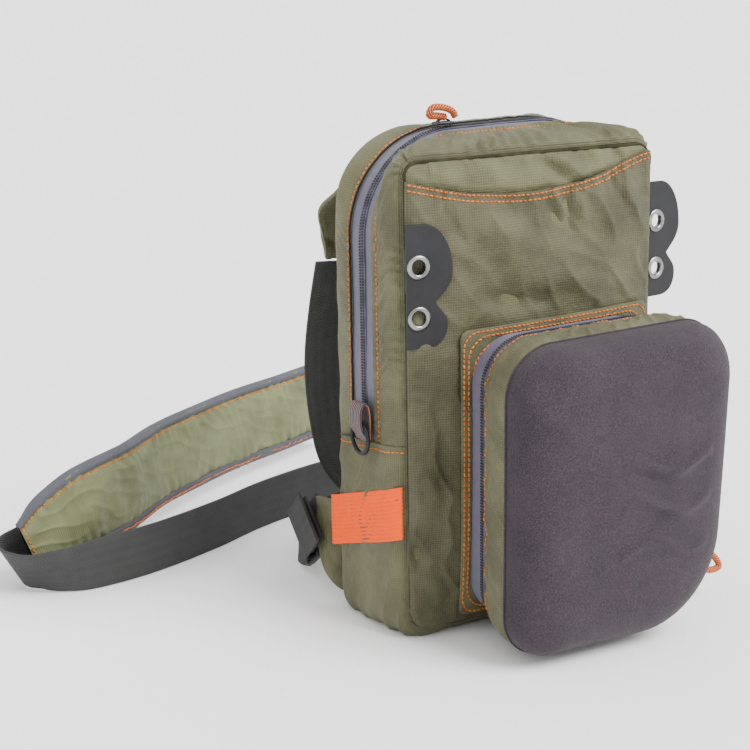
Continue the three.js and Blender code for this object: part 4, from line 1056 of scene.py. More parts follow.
def slip_pocket():
    """The large flat pocket over the panel, pressed down where the front pocket's flange covers it."""
    sides, levels = np.linspace(-1, 1, 161), np.linspace(0, 1, 177)
    surface, x, z = front_surface(sides, levels, FOOT, MOUTH_LINE, CLOTH + GAP)
    foot, mouth, _ = column_heights(sides)
    rim = np.minimum(rim_distance(x, z), 40)
    hem = mouth[:, None] - z
    covered = clamp(1 - np.maximum(np.abs(x - FLANGE_CENTRE_X) - FLANGE_WIDTH / 2 + 8, 0) / 8)
    covered = covered * clamp((FLANGE_BASE + FLANGE_HEIGHT + 8 - z) / 8)
    amount = 1.8 * ripple(x, z, 48, 53, lean=0.9, spread=0.5)
    amount += 0.9 * creases(x, z, 34, 54, lean=0.6, spread=0.7)
    amount += 0.8 * puckers(x, hem - 3.5, 7, 7, 55) + 0.8 * puckers(z, BAG_WIDTH / 2 - np.abs(x), 9, 7, 56)
    amount += 2.2 * sum(fold(x, z, *row) for row in SLIP_FOLDS)
    amount = amount * clamp(rim / 4) - 1.3 * tuck(rim, 1.7)
    outer, inner = MOUTH_STITCHES
    edge = 0.7 * clamp(1 - hem / 7) - 0.3 * tuck(hem - inner, 0.8) - 0.25 * tuck(hem - outer, 0.7)
    surface.relief(amount * (1 - covered) - 0.2 * covered + edge + 0.3 * (1 - covered))
    # The slip look is the olive ripstop painted darker: painted shade over the whole pocket.
    cloth_piece("slip_pocket_cloth", surface, 1.6, "slip", uv=(x, z), replaces=["slip_pocket_panel"])
    height = (mouth - foot)[1:-1]
    lines = [surface.at(sides[1:-1], 1 - inset / height) for inset in MOUTH_STITCHES]
    stitches("mouth_stitches", lines, seed=9)


def back_panel():
    rim = body_outline(1.0)
    shares = np.concatenate([np.linspace(1, 0.9, 16), np.linspace(0.88, 0, 36)])
    centre = np.array([0, (SEAM_TOP + SEAM_BASE) / 2])
    flat = centre + (rim[:, None] - centre) * shares[:, None]
    x, z = flat[..., 0], flat[..., 1]
    y = BAG_DEPTH / 2 + np.minimum(BACK_CROWN, crown_at(x, z, 4 * BACK_CROWN))
    surface = Surface(np.stack([x, y, z], -1), columns=1 - shares, closed=True)
    off = (1 - shares) * 80
    run = np.repeat(path_length(np.vstack([rim, rim[:1]]))[:-1, None], len(shares), 1)
    amount = -1.2 * tuck(off, 1.8) + 0.5 * puckers(run, off[None], 9, 8, 61) * clamp(off / 3)
    amount += 0.35 * ripple(x, z, 40, 62) * clamp(off / 10)
    surface.relief(np.minimum(amount, 0.9))
    cloth_piece("back_panel_cloth", surface, 2.0, "olive", uv=(x, z), replaces=["back_panel"])
    stitches("back_panel_stitches", [surface.at(np.arange(LOOP), BACK_STITCH)], seed=10)


# Front pocket


def lean(points):
    """Leans a pocket outline: its right side comes in at the foot, its top edge rises to the right."""
    x, z = points[:, 0], points[:, 1]
    across = (x - POCKET_CENTRE_X) / POCKET_WIDTH + 0.5
    up = (z - POCKET_BASE) / POCKET_HEIGHT
    shift = across * (POCKET_SPREAD * up - POCKET_TAPER * (1 - up))
    return np.stack([x + shift, z + across * POCKET_SKEW * up**2], 1)


def pocket_outline(inset, corner, skin=0.0):
    radii = [POCKET_CORNER * corner * share - skin for share in SHELL_CORNERS]
    section = outline(
        POCKET_CENTRE_X - POCKET_WIDTH / 2 + inset + skin,
        POCKET_CENTRE_X + POCKET_WIDTH / 2 - inset - skin,
        POCKET_BASE + inset * 0.6 + skin,
        POCKET_BASE + POCKET_HEIGHT - inset * 0.3 - skin,
        POCKET_SPLIT,
        radii,
    )
    return lean(section)


def pocket_y(proud, x, z):
    """Depth of the pocket wall: it starts on the flange, and its seam leans back towards the foot."""
    tuck_share = monotone(WALL_SECTIONS[:, 0], WALL_SECTIONS[:, 1], proud)
    low = 1 - (z - POCKET_BASE) / POCKET_HEIGHT
    wall = -BAG_DEPTH / 2 - POCKET_PROUD * proud + POCKET_TUCK * tuck_share * low**2
    root = panel_y(x, z) - FLANGE_OFFSET - GAP
    return np.minimum(wall, root)


def wall_surface(prouds, skin):
    rings = []
    for proud in prouds:
        inset, corner = (float(monotone(WALL_SECTIONS[:, 0], WALL_SECTIONS[:, k], proud)) for k in (2, 3))
        section = pocket_outline(WALL_INSET * inset, corner, skin)
        x, z = section[:, 0], section[:, 1]
        rings.append(np.stack([x, pocket_y(proud, x, z), z], 1))
    return Surface(np.stack(rings, 1), columns=np.asarray(prouds) * POCKET_PROUD, closed=True, flip=True)


def pocket_flange():
    left, right = FLANGE_CENTRE_X - FLANGE_WIDTH / 2, FLANGE_CENTRE_X + FLANGE_WIDTH / 2
    base, top = FLANGE_BASE, FLANGE_BASE + FLANGE_HEIGHT
    edge, corner = FLANGE_BORDER, POCKET_CORNER * 0.75
    rim = lean(outline(left, right, base, top, POCKET_SPLIT, (5,) * 4))
    window = lean(outline(left + edge, right - edge, base + edge, top - edge, POCKET_SPLIT, (corner,) * 4))
    shares = np.linspace(0, 1.25, 19)
    flat = rim[:, None] + (window - rim)[:, None] * shares[:, None]
    x, z = flat[..., 0], flat[..., 1]
    points = np.stack([x, panel_y(x, z) - FLANGE_OFFSET - CLOTH, z], -1)
    surface = Surface(points, columns=shares, closed=True, flip=True)
    run = np.repeat(path_length(rim)[:, None], len(shares), 1)
    off = shares[None] * edge
    amount = 0.7 * bulge(off / 7, 0.5) - 0.3 * tuck(off - 1.6, 0.6) - 0.3 * tuck(off - 6.4, 0.6)
    surface.relief(amount + 0.3 * puckers(run, off - 4, 6, 7, 71) - 0.4 * tuck(off, 0.9))
    cloth_piece("pocket_flange_cloth", surface, 2.2, "olive", replaces=["pocket_flange"])
    lines = [surface.at(np.arange(LOOP), inset / edge) for inset in FLANGE_STITCHES]
    stitches("pocket_flange_stitches", lines, seed=12)


def pocket_tape():
    tape = wall_surface(np.linspace(0.0, 0.53, 34), TAPE_SINK + 0.3)
    u, _ = tape.lengths()
    depth = np.broadcast_to(tape.columns, u.shape)
    tape.relief(0.1 * np.cos(depth * TAPE_RIBS) + 0.25 * ripple(u, depth, 50, 73))
    cloth_piece("pocket_tape_cloth", tape, 1.0, "tape", replaces=["pocket_zip_tape"])


def pocket_coil():
    half = COIL_WIDTH / 2 / POCKET_PROUD
    band = wall_surface(np.linspace(POCKET_ZIP_MIDDLE - half, POCKET_ZIP_MIDDLE + half, 13), TAPE_SINK)
    across = (band.columns / POCKET_PROUD - POCKET_ZIP_MIDDLE) / half
    shape = 0.6 * np.sqrt(clamp(1 - across**2)) - 0.55 * tuck((across + 0.3) * 3, 0.35)
    band.relief(np.broadcast_to(shape, band.points.shape[:2]))
    cloth_piece("pocket_coil_band", band, 1.0, "coil", replaces=["pocket_zip_coil"])
    rows, middle = np.arange(0, LOOP, 2), POCKET_ZIP_MIDDLE * POCKET_PROUD
    # Near-black dashes along the coil: painted shade between its turns.
    shade_dashes = [band.at(rows, middle + side, lift=0.05) for side in (-1.9, 0.6)]
    stitches("pocket_zip_gap_shade", shade_dashes, "coil_gap_shade", pitch=1.5, length=1.0, radius=0.5)


def pocket_border():
    border = wall_surface(np.linspace(0.505, 0.985, 30), 0.0)
    u, _ = border.lengths()
    off = np.broadcast_to(border.columns - border.columns[0], u.shape)
    reach = border.columns[-1] - border.columns[0]
    stitch = off - BORDER_STITCH
    amount = 0.9 * bulge(off / reach, 0.8) - 0.3 * tuck(stitch, 0.8) - 0.6 * tuck(reach - off, 1.5) + 0.6
    amount += 0.7 * puckers(u, stitch, 7, 6, 75) + 0.8 * creases(u, off, 19, 76, lean=0.4, spread=0.6)
    border.relief(amount)
    border.points[..., 2] = np.maximum(border.points[..., 2], 0.3)
    cloth_piece("pocket_border_cloth", border, 1.6, "olive", replaces=["pocket_border"])
    lines = [border.at(np.arange(LOOP), border.columns[0] + BORDER_STITCH)]
    stitches("pocket_border_stitches", lines, seed=14)


def pocket_piping():
    """Rolled seam between the border and the shell."""
    section = pocket_outline(0.0, 1.0, -0.1)
    x, z = section[:, 0], np.maximum(section[:, 1], 1.1)
    path = np.stack([x, pocket_y(0.992, x, z), z], 1)
    swept_piece("pocket_seam_piping", path, (0, 1, 0), circle(0.7, 8), "shell", closed=True)


# Three plain waves on the shell, each a height above its foot
WAVE_LEVELS = (52, 73, 94)
WAVE = {"start": -14, "end": 44, "swing": 4, "pitch": 58, "width": 3.0, "height": 2.8}


def shell_waves(x, z):
    relief = np.zeros_like(x)
    share = (x - POCKET_CENTRE_X - WAVE["start"]) / (WAVE["end"] - WAVE["start"])
    taper = bulge(share, 0.6)
    for k, level in enumerate(WAVE_LEVELS):
        line_z = POCKET_BASE + level + WAVE["swing"] * np.sin(2 * math.pi * (x + 7 * k) / WAVE["pitch"])
        relief += WAVE["height"] * taper * np.exp(-(((z - line_z) / WAVE["width"]) ** 2))
    return relief


def pocket_shell():
    rim = pocket_outline(0.0, 1.0)
    place = np.arange(len(SHELL_SECTIONS))
    t = np.concatenate([np.linspace(0, 5, 38), np.linspace(5, 7, 46)[1:]])
    rise, inset = monotone(place, SHELL_SECTIONS[:, 0], t), monotone(place, SHELL_SECTIONS[:, 1], t)
    centre = np.array([POCKET_CENTRE_X, POCKET_BASE + POCKET_HEIGHT / 2])
    flat = rim[:, None] + (centre - rim)[:, None] * inset[:, None]
    x, z = flat[..., 0], flat[..., 1]
    y = pocket_y(1.0, x, z) - SHELL_CROWN * rise - shell_waves(x, z)
    surface = Surface(np.stack([x, y, z], -1), columns=t, closed=True, flip=True)
    cloth_piece("pocket_shell_knit", surface, 2.0, "shell", uv=(x, z + y), replaces=["pocket_shell"])


# Side fittings


def swell_at(depths):
    """How far the sides stand out at shares of the body's depth."""
    return SIDE_SWELL * monotone(BODY_SECTIONS[:, 0], BODY_SECTIONS[:, 1], depths)


# Elastic along the side: shares of the body's depth, then mm out from the side and on past the back
ELASTIC_DEPTHS = (0.035, 0.1, 0.19, 0.3, 0.5, 0.77)
ELASTIC_TURN = [(6.2, -9), (6.6, -3), (6.2, 1.4), (4, 2.6), (1.2, 1.8)]


def elastic_loop():
    edge, back = -BAG_WIDTH / 2, BAG_DEPTH / 2
    off = GAP + WEBBING
    pairs = zip(swell_at(ELASTIC_DEPTHS), ELASTIC_DEPTHS)
    plan = [(edge - swell - off, BAG_DEPTH * (depth - 0.5), 0) for swell, depth in pairs]
    plan += [(edge - out, back + past, 0) for out, past in ELASTIC_TURN]
    path = even_path(smooth_path(plan, 200), 0.9)
    share = np.linspace(0, 1, len(path))[:, None]
    across = np.linspace(ELASTIC_WIDTH / 2, -ELASTIC_WIDTH / 2, 79)[None]
    points = np.repeat(path[:, None], across.shape[1], 1)
    points[..., 2] = ELASTIC_LEVEL - ELASTIC_FALL * share + across
    surface = Surface(points)
    ribs = 0.34 * np.abs(np.sin(math.pi * (across / ELASTIC_WIDTH + 0.5) * 13)) ** 0.7
    front = clamp(1 - share * 14)
    surface.relief(np.broadcast_to(ribs, points.shape[:2]) + 0.5 - 1.2 * front)
    double_piece("elastic_band", surface, WEBBING, "elastic", replaces=["elastic_loop"])


# Doubled tape that holds the ring: mm out from the zip and up from its end
RING_TAB_FOLD = [
    (1.0, 2),
    (0.9, 10),
    (1.2, 17),
    (2.4, 20.8),
    (4.4, 21.4),
    (6.3, 18.8),
    (6.9, 14),
    (6.2, 8.5),
    (3.6, 4),
    (2.8, 2),
]


def ring_tab():
    x = -BAG_WIDTH / 2 - float(swell_at(ZIP_MIDDLE)) - COIL_HEIGHT - GAP
    y = BAG_DEPTH * (ZIP_MIDDLE - 0.5) - 5
    path = even_path(smooth_path([(x - out, y, ZIP_END + up) for out, up in RING_TAB_FOLD], 120), 0.7)
    section = ribbon_section(11.6, 1.3, 10)
    swept_piece("ring_tape", path, (0, 1, 0), section, "striped", replaces=["ring_tab"])
    centre = np.array([x - 4.3, y, ZIP_END + 3])
    turn = np.linspace(0, 2 * math.pi, 72, endpoint=False)[:, None]
    out = unit(np.hstack([-0.04 * np.sin(turn), np.cos(turn), np.sin(turn)]))
    path = centre + out * (RING_OUTER - RING_WIRE) / 2
    section = circle(RING_WIRE / 2, 14)
    swept_piece("ring_wire", path, (1, 0, 0), section, "plastic", closed=True, replaces=["ring"])


def bezier(curve, t):
    a, b, c, d = curve
    return a * (1 - t) ** 3 + 3 * b * t * (1 - t) ** 2 + 3 * c * t**2 * (1 - t) + d * t**3


def tab_outline():
    """Points of the double-lobed tab in its own plane, root edge at x = 0."""
    lobe = TAB_HEIGHT / 2
    curves = [
        ((0.4, -1), (0.75, -1), (0.88, -0.82), (0.88, -0.62)),
        ((0.88, -0.62), (0.88, -0.46), (0.72, -0.4), (0.62, -0.26)),
        ((0.62, -0.26), (0.78, -0.12), (1, 0), (1, 0.24)),
        ((1, 0.24), (1, 0.7), (0.7, 1), (0.4, 1)),
    ]
    points = [(0, -lobe)]
    for curve in curves:
        sized = [np.array(corner) * (TAB_REACH, lobe) for corner in curve]
        points += [tuple(bezier(sized, t)) for t in np.linspace(0, 1, 13)[:-1]]
    return points + [(0.4 * TAB_REACH, lobe), (0, lobe)]


def plate_piece(name, rim, holes, thickness, bevel, place, look, replaces):
    """A flat plate with holes and rounded edges, put in place by a matrix in metres."""
    curve = bpy.data.curves.new(name, "CURVE")
    curve.dimensions, curve.fill_mode = "2D", "BOTH"
    curve.extrude, curve.bevel_depth = (thickness / 2 - bevel) * MM, bevel * MM
    curve.bevel_resolution = 2
    for loop in [rim, *holes]:
        spline = curve.splines.new("POLY")
        spline.points.add(len(loop) - 1)
        for point, (x, y) in zip(spline.points, loop):
            point.co = (x * MM, y * MM, 0, 1)
        spline.use_cyclic_u = True
    curve.offset = -bevel * MM
    drawn = bpy.data.objects.new(name + "_drawn", curve)
    bpy.context.scene.collection.objects.link(drawn)
    bpy.context.view_layer.update()
    mesh = bpy.data.meshes.new_from_object(drawn.evaluated_get(bpy.context.evaluated_depsgraph_get()))
    bpy.data.objects.remove(drawn)
    mesh.transform(place)
    mesh.polygons.foreach_set("use_smooth", [True] * len(mesh.polygons))
    mesh.set_sharp_from_angle(angle=math.radians(30))
    return add_object(name, mesh, look, replaces)


def lathe(name, profile, steps, place, look, replaces):
    """A closed profile of radius and height turned about local z."""
    profile = np.asarray(profile, float)
    turn = np.linspace(0, 2 * math.pi, steps, endpoint=False)
    radius, height = profile[:, 0], profile[:, 1]
    level = np.broadcast_to(height, (steps, len(height)))
    points = np.stack([np.outer(np.cos(turn), radius), np.outer(np.sin(turn), radius), level], -1)
    matrix = np.array(place)
    points = points @ matrix[:3, :3].T + matrix[:3, 3] / MM
    u, v = np.meshgrid(np.arange(steps + 1.0), np.arange(len(profile) + 1.0), indexing="ij")
    return grid_piece(name, points, u, v, look, closed=(True, True), replaces=replaces, sharp=60)


def eyelet_profile():
    """Rolled lip on each face of the tab, joined by the barrel."""
    hole, outer = EYELET_HOLE / 2, EYELET_OUTER / 2
    grip = TAB_THICKNESS / 2 + 0.05
    turn = np.linspace(0, math.pi, 12)
    middle, half = (hole + outer) / 2, (outer - hole) / 2
    lip = [(middle - half * math.cos(t), grip + 1.05 * math.sin(t)) for t in turn]
    barrel = [(hole + 0.5, grip), (hole + 0.5, -grip)]
    under = [(radius, -height) for radius, height in reversed(lip)][:-1]
    return lip + barrel + under + [(hole, 0)]


def eyelet_tabs():
    half, front = BAG_WIDTH / 2, -BAG_DEPTH / 2
    level = SEAM_BASE + (SEAM_TOP - SEAM_BASE) * TAB_LEVEL
    stack = CLOTH + 3 * GAP + EYELET_FLANGE + TAB_THICKNESS / 2
    seats = {
        "lower": (EYELET_INSET, -EYELET_SPACING / 2 - EYELET_DROP),
        "upper": (EYELET_INSET, EYELET_SPACING / 2 - EYELET_DROP),
    }
    hole = circle(EYELET_OUTER / 2 - 1.6, 32)
    holes = [[(a + x, b + y) for x, y in hole] for a, b in seats.values()]
    sides = [
        ("left", -0.15, (-half - 1.5, front - stack - TAB_LIFT, level)),
        ("right", 0.15, (half - 1.0, front + 0.9, level + TAB_STAGGER)),
    ]
    for side, turn, at in sides:
        place = Matrix.Translation(Vector(at) * MM) @ Matrix.Rotation(turn, 4, "Z")
        place = place @ Matrix.Rotation(math.pi / 2, 4, "X")
        nodes = [f"{side}_eyelet_tab"]
        plate_piece(f"{side}_tab_sheet", tab_outline(), holes, TAB_THICKNESS, 0.3, place, "sheet", nodes)
        for word in ("upper", "lower"):
            seat = place @ Matrix.Translation(Vector((*seats[word], 0)) * MM)
            name = f"{side}_{word}_eyelet"
            lathe(name + "_rolled", eyelet_profile(), 40, seat, "nickel", [name])


# Zip sliders and pulls


def slider_piece(name, centre, along, out, node):
    """Zip slider: a waisted body with a bridge over it for the pull."""
    centre, along, out = (np.asarray(part, float) for part in (centre, along, out))
    side = np.cross(along, out)
    u = np.linspace(-1, 1, 21)
    width = 3.3 + 0.9 * np.cos(u * 2.2) - 0.9 * tuck(u + 0.1, 0.35)
    height = SLIDER_HEIGHT / 2 * (1 - 0.25 * u**6)
    ring = circle(1, 20)
    rounded = np.sign(ring) * np.abs(ring) ** 0.5
    section = rounded[None] * np.stack([width, height], 1)[:, None]
    path = centre + np.outer(u * (SLIDER_LENGTH / 2 + 0.2), along)
    swept_piece(name, path, side, section, "metal", replaces=[node])
    bend = np.linspace(0, math.pi, 17)
    bridge = centre + np.outer(-3.6 * np.cos(bend), along) + np.outer(0.6 + 1.4 * np.sin(bend), out)
    swept_piece(name + "_bridge", bridge, side, ribbon_section(2.4, 0.9, 5), "metal")


# Braid of the cord: radians for each mm, depth as a share of the radius
BRAID = {"turn": 3.9, "depth": 0.05}


def cord_piece(name, points, node):
    path = even_path(smooth_path(points, 160), 0.5)
    run = path_length(path)
    turn = np.linspace(0, 2 * math.pi, 18, endpoint=False)
    lay = run[:, None] * BRAID["turn"]
    bumps = 1 + BRAID["depth"] * np.sin(lay + 3 * turn) + BRAID["depth"] * np.sin(lay - 3 * turn)
    section = np.stack([np.cos(turn) * bumps, np.sin(turn) * bumps], -1) * CORD / 2
    swept_piece(name, path, (0.3, 1, 0.2), section, "cord", replaces=[node])


def main_zip_hardware():
    """The slider sits on the coil on the roof, its cord doubled back over it."""
    y = BAG_DEPTH * (ZIP_MIDDLE - 0.5)
    x = -0.2 * BAG_WIDTH
    coil_top = body_outline(ZIP_MIDDLE, TAPE_SINK - GAP - COIL_HEIGHT)
    coil_top = coil_top[coil_top[:, 1] > SEAM_TOP]
    seat = float(np.interp(x + SLIDER_LENGTH / 2, coil_top[:, 0], coil_top[:, 1])) + GAP
    centre = (x, y, seat + SLIDER_HEIGHT / 2)
    slider_piece("main_slider_body", centre, (1, 0, 0), (0, 0, 1), "main_zip_slider")
    lift = seat + SLIDER_HEIGHT + GAP + CORD / 2
    route = [
        (x + 1, y, lift),
        (x - 4, y - 1, lift + 0.8),
        (x - 9.5, y - 2, lift + 1.6),
        (x - 8.5, y - 3, lift + 5),
        (x - 1.5, y - 3, lift + 5),
        (x + 4, y - 2.5, lift + 2.8),
        (x + 6, y - 2, lift + 0.2),
    ]
    cord_piece("main_pull_cord", route, "main_zip_pull")


# Slider of the pocket: shares of POCKET_HEIGHT, WALL_INSET and POCKET_TUCK
POCKET_SLIDER = {"level": 0.33, "inset": 0.7675, "tuck": 0.3}


def pocket_zip_hardware():
    """The slider sits on the right side of the pocket, its cord hanging forward and down."""
    level = POCKET_BASE + POCKET_HEIGHT * POCKET_SLIDER["level"]
    inset = WALL_INSET * POCKET_SLIDER["inset"]
    side = lean(np.array([[POCKET_CENTRE_X + POCKET_WIDTH / 2 - inset, level]]))[0, 0] + COIL_HEIGHT
    low = 1 - (level - POCKET_BASE) / POCKET_HEIGHT
    front = -BAG_DEPTH / 2 - POCKET_PROUD * POCKET_ZIP_MIDDLE + POCKET_TUCK * POCKET_SLIDER["tuck"] * low**2
    centre = (side + 2 * GAP + SLIDER_HEIGHT / 2, front, level)
    slider_piece("pocket_slider_body", centre, (0, 0, 1), (1, 0, 0), "pocket_zip_slider")
    route = [
        (side + SLIDER_HEIGHT + 3 * GAP + CORD / 2, front, level - 2),
        (side + 12, front - 2, level - 13),
        (side + 25, front - 5, level - 26),
        (side + 37, front - 7, level - 35),
        (side + 39, front - 8, level - 40),
        (side + 32, front - 8, level - 41),
        (side + 21, front - 7, level - 34),
    ]
    cord_piece("pocket_pull_cord", route, "pocket_zip_pull")


# Strap

# Wing from root to tip: x, y, lower edge and upper edge
WING_ROWS = [(-62, 38.6, 7, 56), (-73, 40.2, 6, 58), (-78.5, 48, 14, 58), (-79, 57, 31, 57)]
# Top tab from root to tip: left and right edge
TOP_TAB_ROWS = [
    ((-66, 36.4, 238), (-38, 36.4, 238)),
    ((-74, 38.6, 228), (-43, 37, 226)),
    ((-81, 45, 218), (-50, 43, 216)),
    ((-77, 51, 203), (-48, 51, 202)),
    ((-73, 55, 190), (-45, 55, 189)),
]
BUCKLE = {
    "width": 34.4,
    "length": 16,
    "thickness": 4.4,
    "corner": 2,
    "slot": 3.4,
    "slot_at": 3.8,
    "tilt": 0.7,
    "reach": 19,
}
BUCKLE_GRIP = BUCKLE["thickness"] / 2 + GAP + WEBBING / 2
# Pad route: place, share of the width
PAD_ROUTE = [
    ((-217, 152.5, 26), 0.5),
    ((-209, 152.5, 29), 0.7),
    ((-198, 154.5, 33.5), 0.88),
    ((-178, 163, 38), 1),
    ((-140, 192, 38), 1),
    ((-104, 227, 38), 1),
    ((-69, 252, 38), 1),
    ((-25, 280, 38), 1),
    ((18, 301, 38), 1),
    ((50, 318, 38), 1),
    ((70, 328, 38), 1),
]
# Webbing routes: place, direction across the band
UPPER_ROUTE = [
    ((-62.5, 57.2, 187), (1, 0, 0)),
    ((-64, 64, 160), (1, 0, 0)),
    ((-64, 71, 131), (1, 0.05, 0)),
    ((-58, 80, 100), (1, 0.1, 0.1)),
    ((-46, 92, 70), (0.9, 0.1, 0.4)),
    ((-22, 104, 46), (0.55, 0.05, 0.8)),
    ((14, 114, 28), (0.2, 0, 0.97)),
    ((52, 126, 18), (0, 0, 1)),
    ((82, 150, 16), (0, 0, 1)),
    ((95, 190, 16), (0, 0, 1)),
    ((99, 240, 16), (0, 0, 1)),
    ((106, 290, 19), (0, 0, 1)),
    ((109, 322, 25), (0, 0, 1)),
    ((95, 339, 32), (0, 0, 1)),
]
LOWER_ROUTE = [
    ((-66, 106, 18), (0.1, 0, 1)),
    ((-34, 130, 16), (0, 0, 1)),
    ((10, 147, 15.2), (0, 0, 1)),
    ((44, 158, 15.2), (0, 0, 1)),
    ((60, 174, 15.2), (0, 0, 1)),
    ((56, 194, 15.2), (0, 0, 1)),
    ((38, 203, 15.2), (0, 0, 1)),
    ((12, 203, 15.2), (0, 0, 1)),
    ((-14, 197, 15.2), (0, 0, 1)),
    ((-58, 180, 15.2), (0, 0, 1)),
    ((-96, 160, 15.2), (0, 0, 1)),
    ((-148, 139, 15.2), (0, 0, 1)),
    ((-182, 132, 15.2), (-0.05, -0.05, 1)),
    ((-201, 131.5, 15), (-0.3, -0.25, 0.92)),
    ((-216, 137.5, 14.5), (-0.6, -0.15, 0.78)),
    ((-224.5, 150, 14.5), (-0.55, 0.1, 0.83)),
    ((-223.5, 163, 15.5), (-0.35, 0.3, 0.9)),
    ((-210, 171, 18), (0, 0.2, 0.98)),
    ((-195, 172, 27), (0, 0, 1)),
    ((-180, 178, 36), (0, 0, 1)),
]


def behind_pad(place):
    """Where the webbing is sewn to the pad's back, at a place along the pad's route."""
    route = [at for at, _ in PAD_ROUTE]
    steps = 1000
    fine = smooth_path(route, steps)
    i = min(max(int(round(place / (len(route) - 1) * steps)), 1), steps - 1)
    along = fine[i + 1] - fine[i - 1]
    back = unit(np.array([-along[1], along[0], 0])) * (PAD_THICKNESS / 2 + 3 * GAP + WEBBING / 2)
    return tuple(fine[i] + back), (0, 0, 1)


def bilinear(rows, down, across):
    """Smooth grid between two edges given as rows of end points."""
    left = smooth_path([a for a, _ in rows], down)
    right = smooth_path([b for _, b in rows], down)
    share = np.linspace(0, 1, across)[None, :, None]
    return left[:, None] * (1 - share) + right[:, None] * share


def edge_lines(surface, inset):
    """Stitch lines along both sides and the tip of a cloth grid, an inset in from its edges."""
    u, v = surface.lengths()
    last_row, last_column = surface.rows[-1], surface.columns[-1]
    a, b = inset / u[-1].mean() * last_row, inset / v[:, -1].mean() * last_column
    run = np.linspace(a, last_row - a, 60)
    turn = np.linspace(b, last_column - b, 40)
    return [surface.at(run, b), surface.at(run, last_column - b), surface.at(last_row - a, turn)]


def lower_wing():
    rows = [((x, y, low), (x, y, high)) for x, y, low, high in WING_ROWS]
    surface = Surface(bilinear(rows, 40, 70))
    u, v = surface.lengths()
    edge = np.minimum(v, v[:, -1:] - v)
    amount = 0.7 * (1 - tuck(edge, 4)) + 0.7 * ripple(u, v, 14, 91) * (1 - tuck(edge, 3))
    surface.relief(amount - 0.3 * tuck(edge - WING_STITCH, 0.7))
    double_piece("wing_cloth", surface, PADDED_CLOTH, "olive", replaces=["lower_wing"])
    stitches("wing_stitches", edge_lines(surface, WING_STITCH), seed=18)


def top_tab():
    surface = Surface(bilinear(TOP_TAB_ROWS, 60, 40), flip=True)
    u, v = surface.lengths()
    edge = np.minimum(v, v[:, -1:] - v)
    amount = 0.6 * (1 - tuck(edge, 3)) + 0.5 * ripple(u, v, 16, 93)
    surface.relief(amount - 0.3 * tuck(edge - TOP_TAB_STITCH, 0.7))
    double_piece("top_tab_cloth", surface, PADDED_CLOTH, "olive", replaces=["top_tab"])
    stitches("top_tab_stitches", edge_lines(surface, TOP_TAB_STITCH), seed=19)


def buckle_frame():
    """Directions and centre of the buckle: it lies in the plane of the wing's tip."""
    (bx, by, _, _), (x, y, low, high) = WING_ROWS[-2:]
    along, up = unit(np.array([x - bx, y - by, 0.0])), np.array([0.0, 0.0, 1.0])
    face = np.cross(along, up)
    run = along * math.cos(BUCKLE["tilt"]) - up * math.sin(BUCKLE["tilt"])
    centre = np.array([x, y, (low + high) / 2]) - face * PADDED_CLOTH / 2 + run * BUCKLE["reach"]
    return centre, run, face, np.cross(run, face)


def rounded_rim(width, length, corner):
    """A rounded rectangle about its middle."""
    rim = []
    for sx, sy, start in ((1, -1, -90), (1, 1, 0), (-1, 1, 90), (-1, -1, 180)):
        x, y = sx * (width / 2 - corner), sy * (length / 2 - corner)
        for angle in np.radians(start + np.linspace(0, 90, 7)):
            rim.append((x + corner * math.cos(angle), y + corner * math.sin(angle)))
    return rim


def buckle():
    centre, run, face, bar = buckle_frame()
    rim = rounded_rim(BUCKLE["width"], BUCKLE["length"], BUCKLE["corner"])
    a, b = (WEBBING_WIDTH + 1.6) / 2, BUCKLE["slot"] / 2
    middles = (-BUCKLE["slot_at"], BUCKLE["slot_at"])
    holes = [[(-a, at - b), (a, at - b), (a, at + b), (-a, at + b)] for at in middles]
    place = Matrix((bar, run, face)).transposed().to_4x4()
    place.translation = Vector(centre) * MM
    plate_piece("ladder_buckle", rim, holes, BUCKLE["thickness"], 0.9, place, "plastic", ["strap_buckle"])


def anchor_webbing():
    """Webbing from the wing's tip, doubled round the buckle's first bar."""
    centre, run, face, bar = buckle_frame()
    slot, root, grip = BUCKLE["slot_at"], -BUCKLE["reach"] - 2, BUCKLE_GRIP
    bends = [
        (root, grip + 0.2),
        (-slot - 2, grip),
        (-slot, grip - 1.4),
        (-slot, -grip + 1.4),
        (-slot - 2, -grip),
        (root, -grip - 0.2),
    ]
    path = even_path(smooth_path([centre + run * a + face * b for a, b in bends], 90), 0.8)
    section = ribbon_section(WEBBING_WIDTH - 2, WEBBING)
    swept_piece("anchor_webbing", path, bar, section, "webbing", replaces=["buckle_anchor"])


def strap_band(name, route, count, node):
    """A length of webbing along a route, with the frames that its stitches need."""
    path = smooth_path([at for at, _ in route], count)
    across = unit(smooth_path([way for _, way in route], count))
    band = ribbon_section(WEBBING_WIDTH, WEBBING)
    swept_piece(name, path, across, band, "webbing", replaces=[node])
    through = unit(np.cross(np.gradient(path, axis=0), across))
    return path, unit(np.cross(through, np.gradient(path, axis=0))), through


def upper_strap():
    """Webbing from the top tab to the pad's back. Gives the frames along it."""
    route = UPPER_ROUTE + [behind_pad(k) for k in (10, 9.5, 9, 8.5, 8)]
    return strap_band("upper_webbing", route, 420, "strap_upper")


def strap_end_seam(frames):
    """Stitches where the upper webbing leaves the tab, on both of its faces."""
    path, across, through = (part[:60] for part in frames)
    seam = path + across * (WEBBING_WIDTH / 2 - 3)
    lines = [(seam + side * through * WEBBING / 2, side * through) for side in (1, -1)]
    stitches("strap_end_stitches", lines, seed=20)


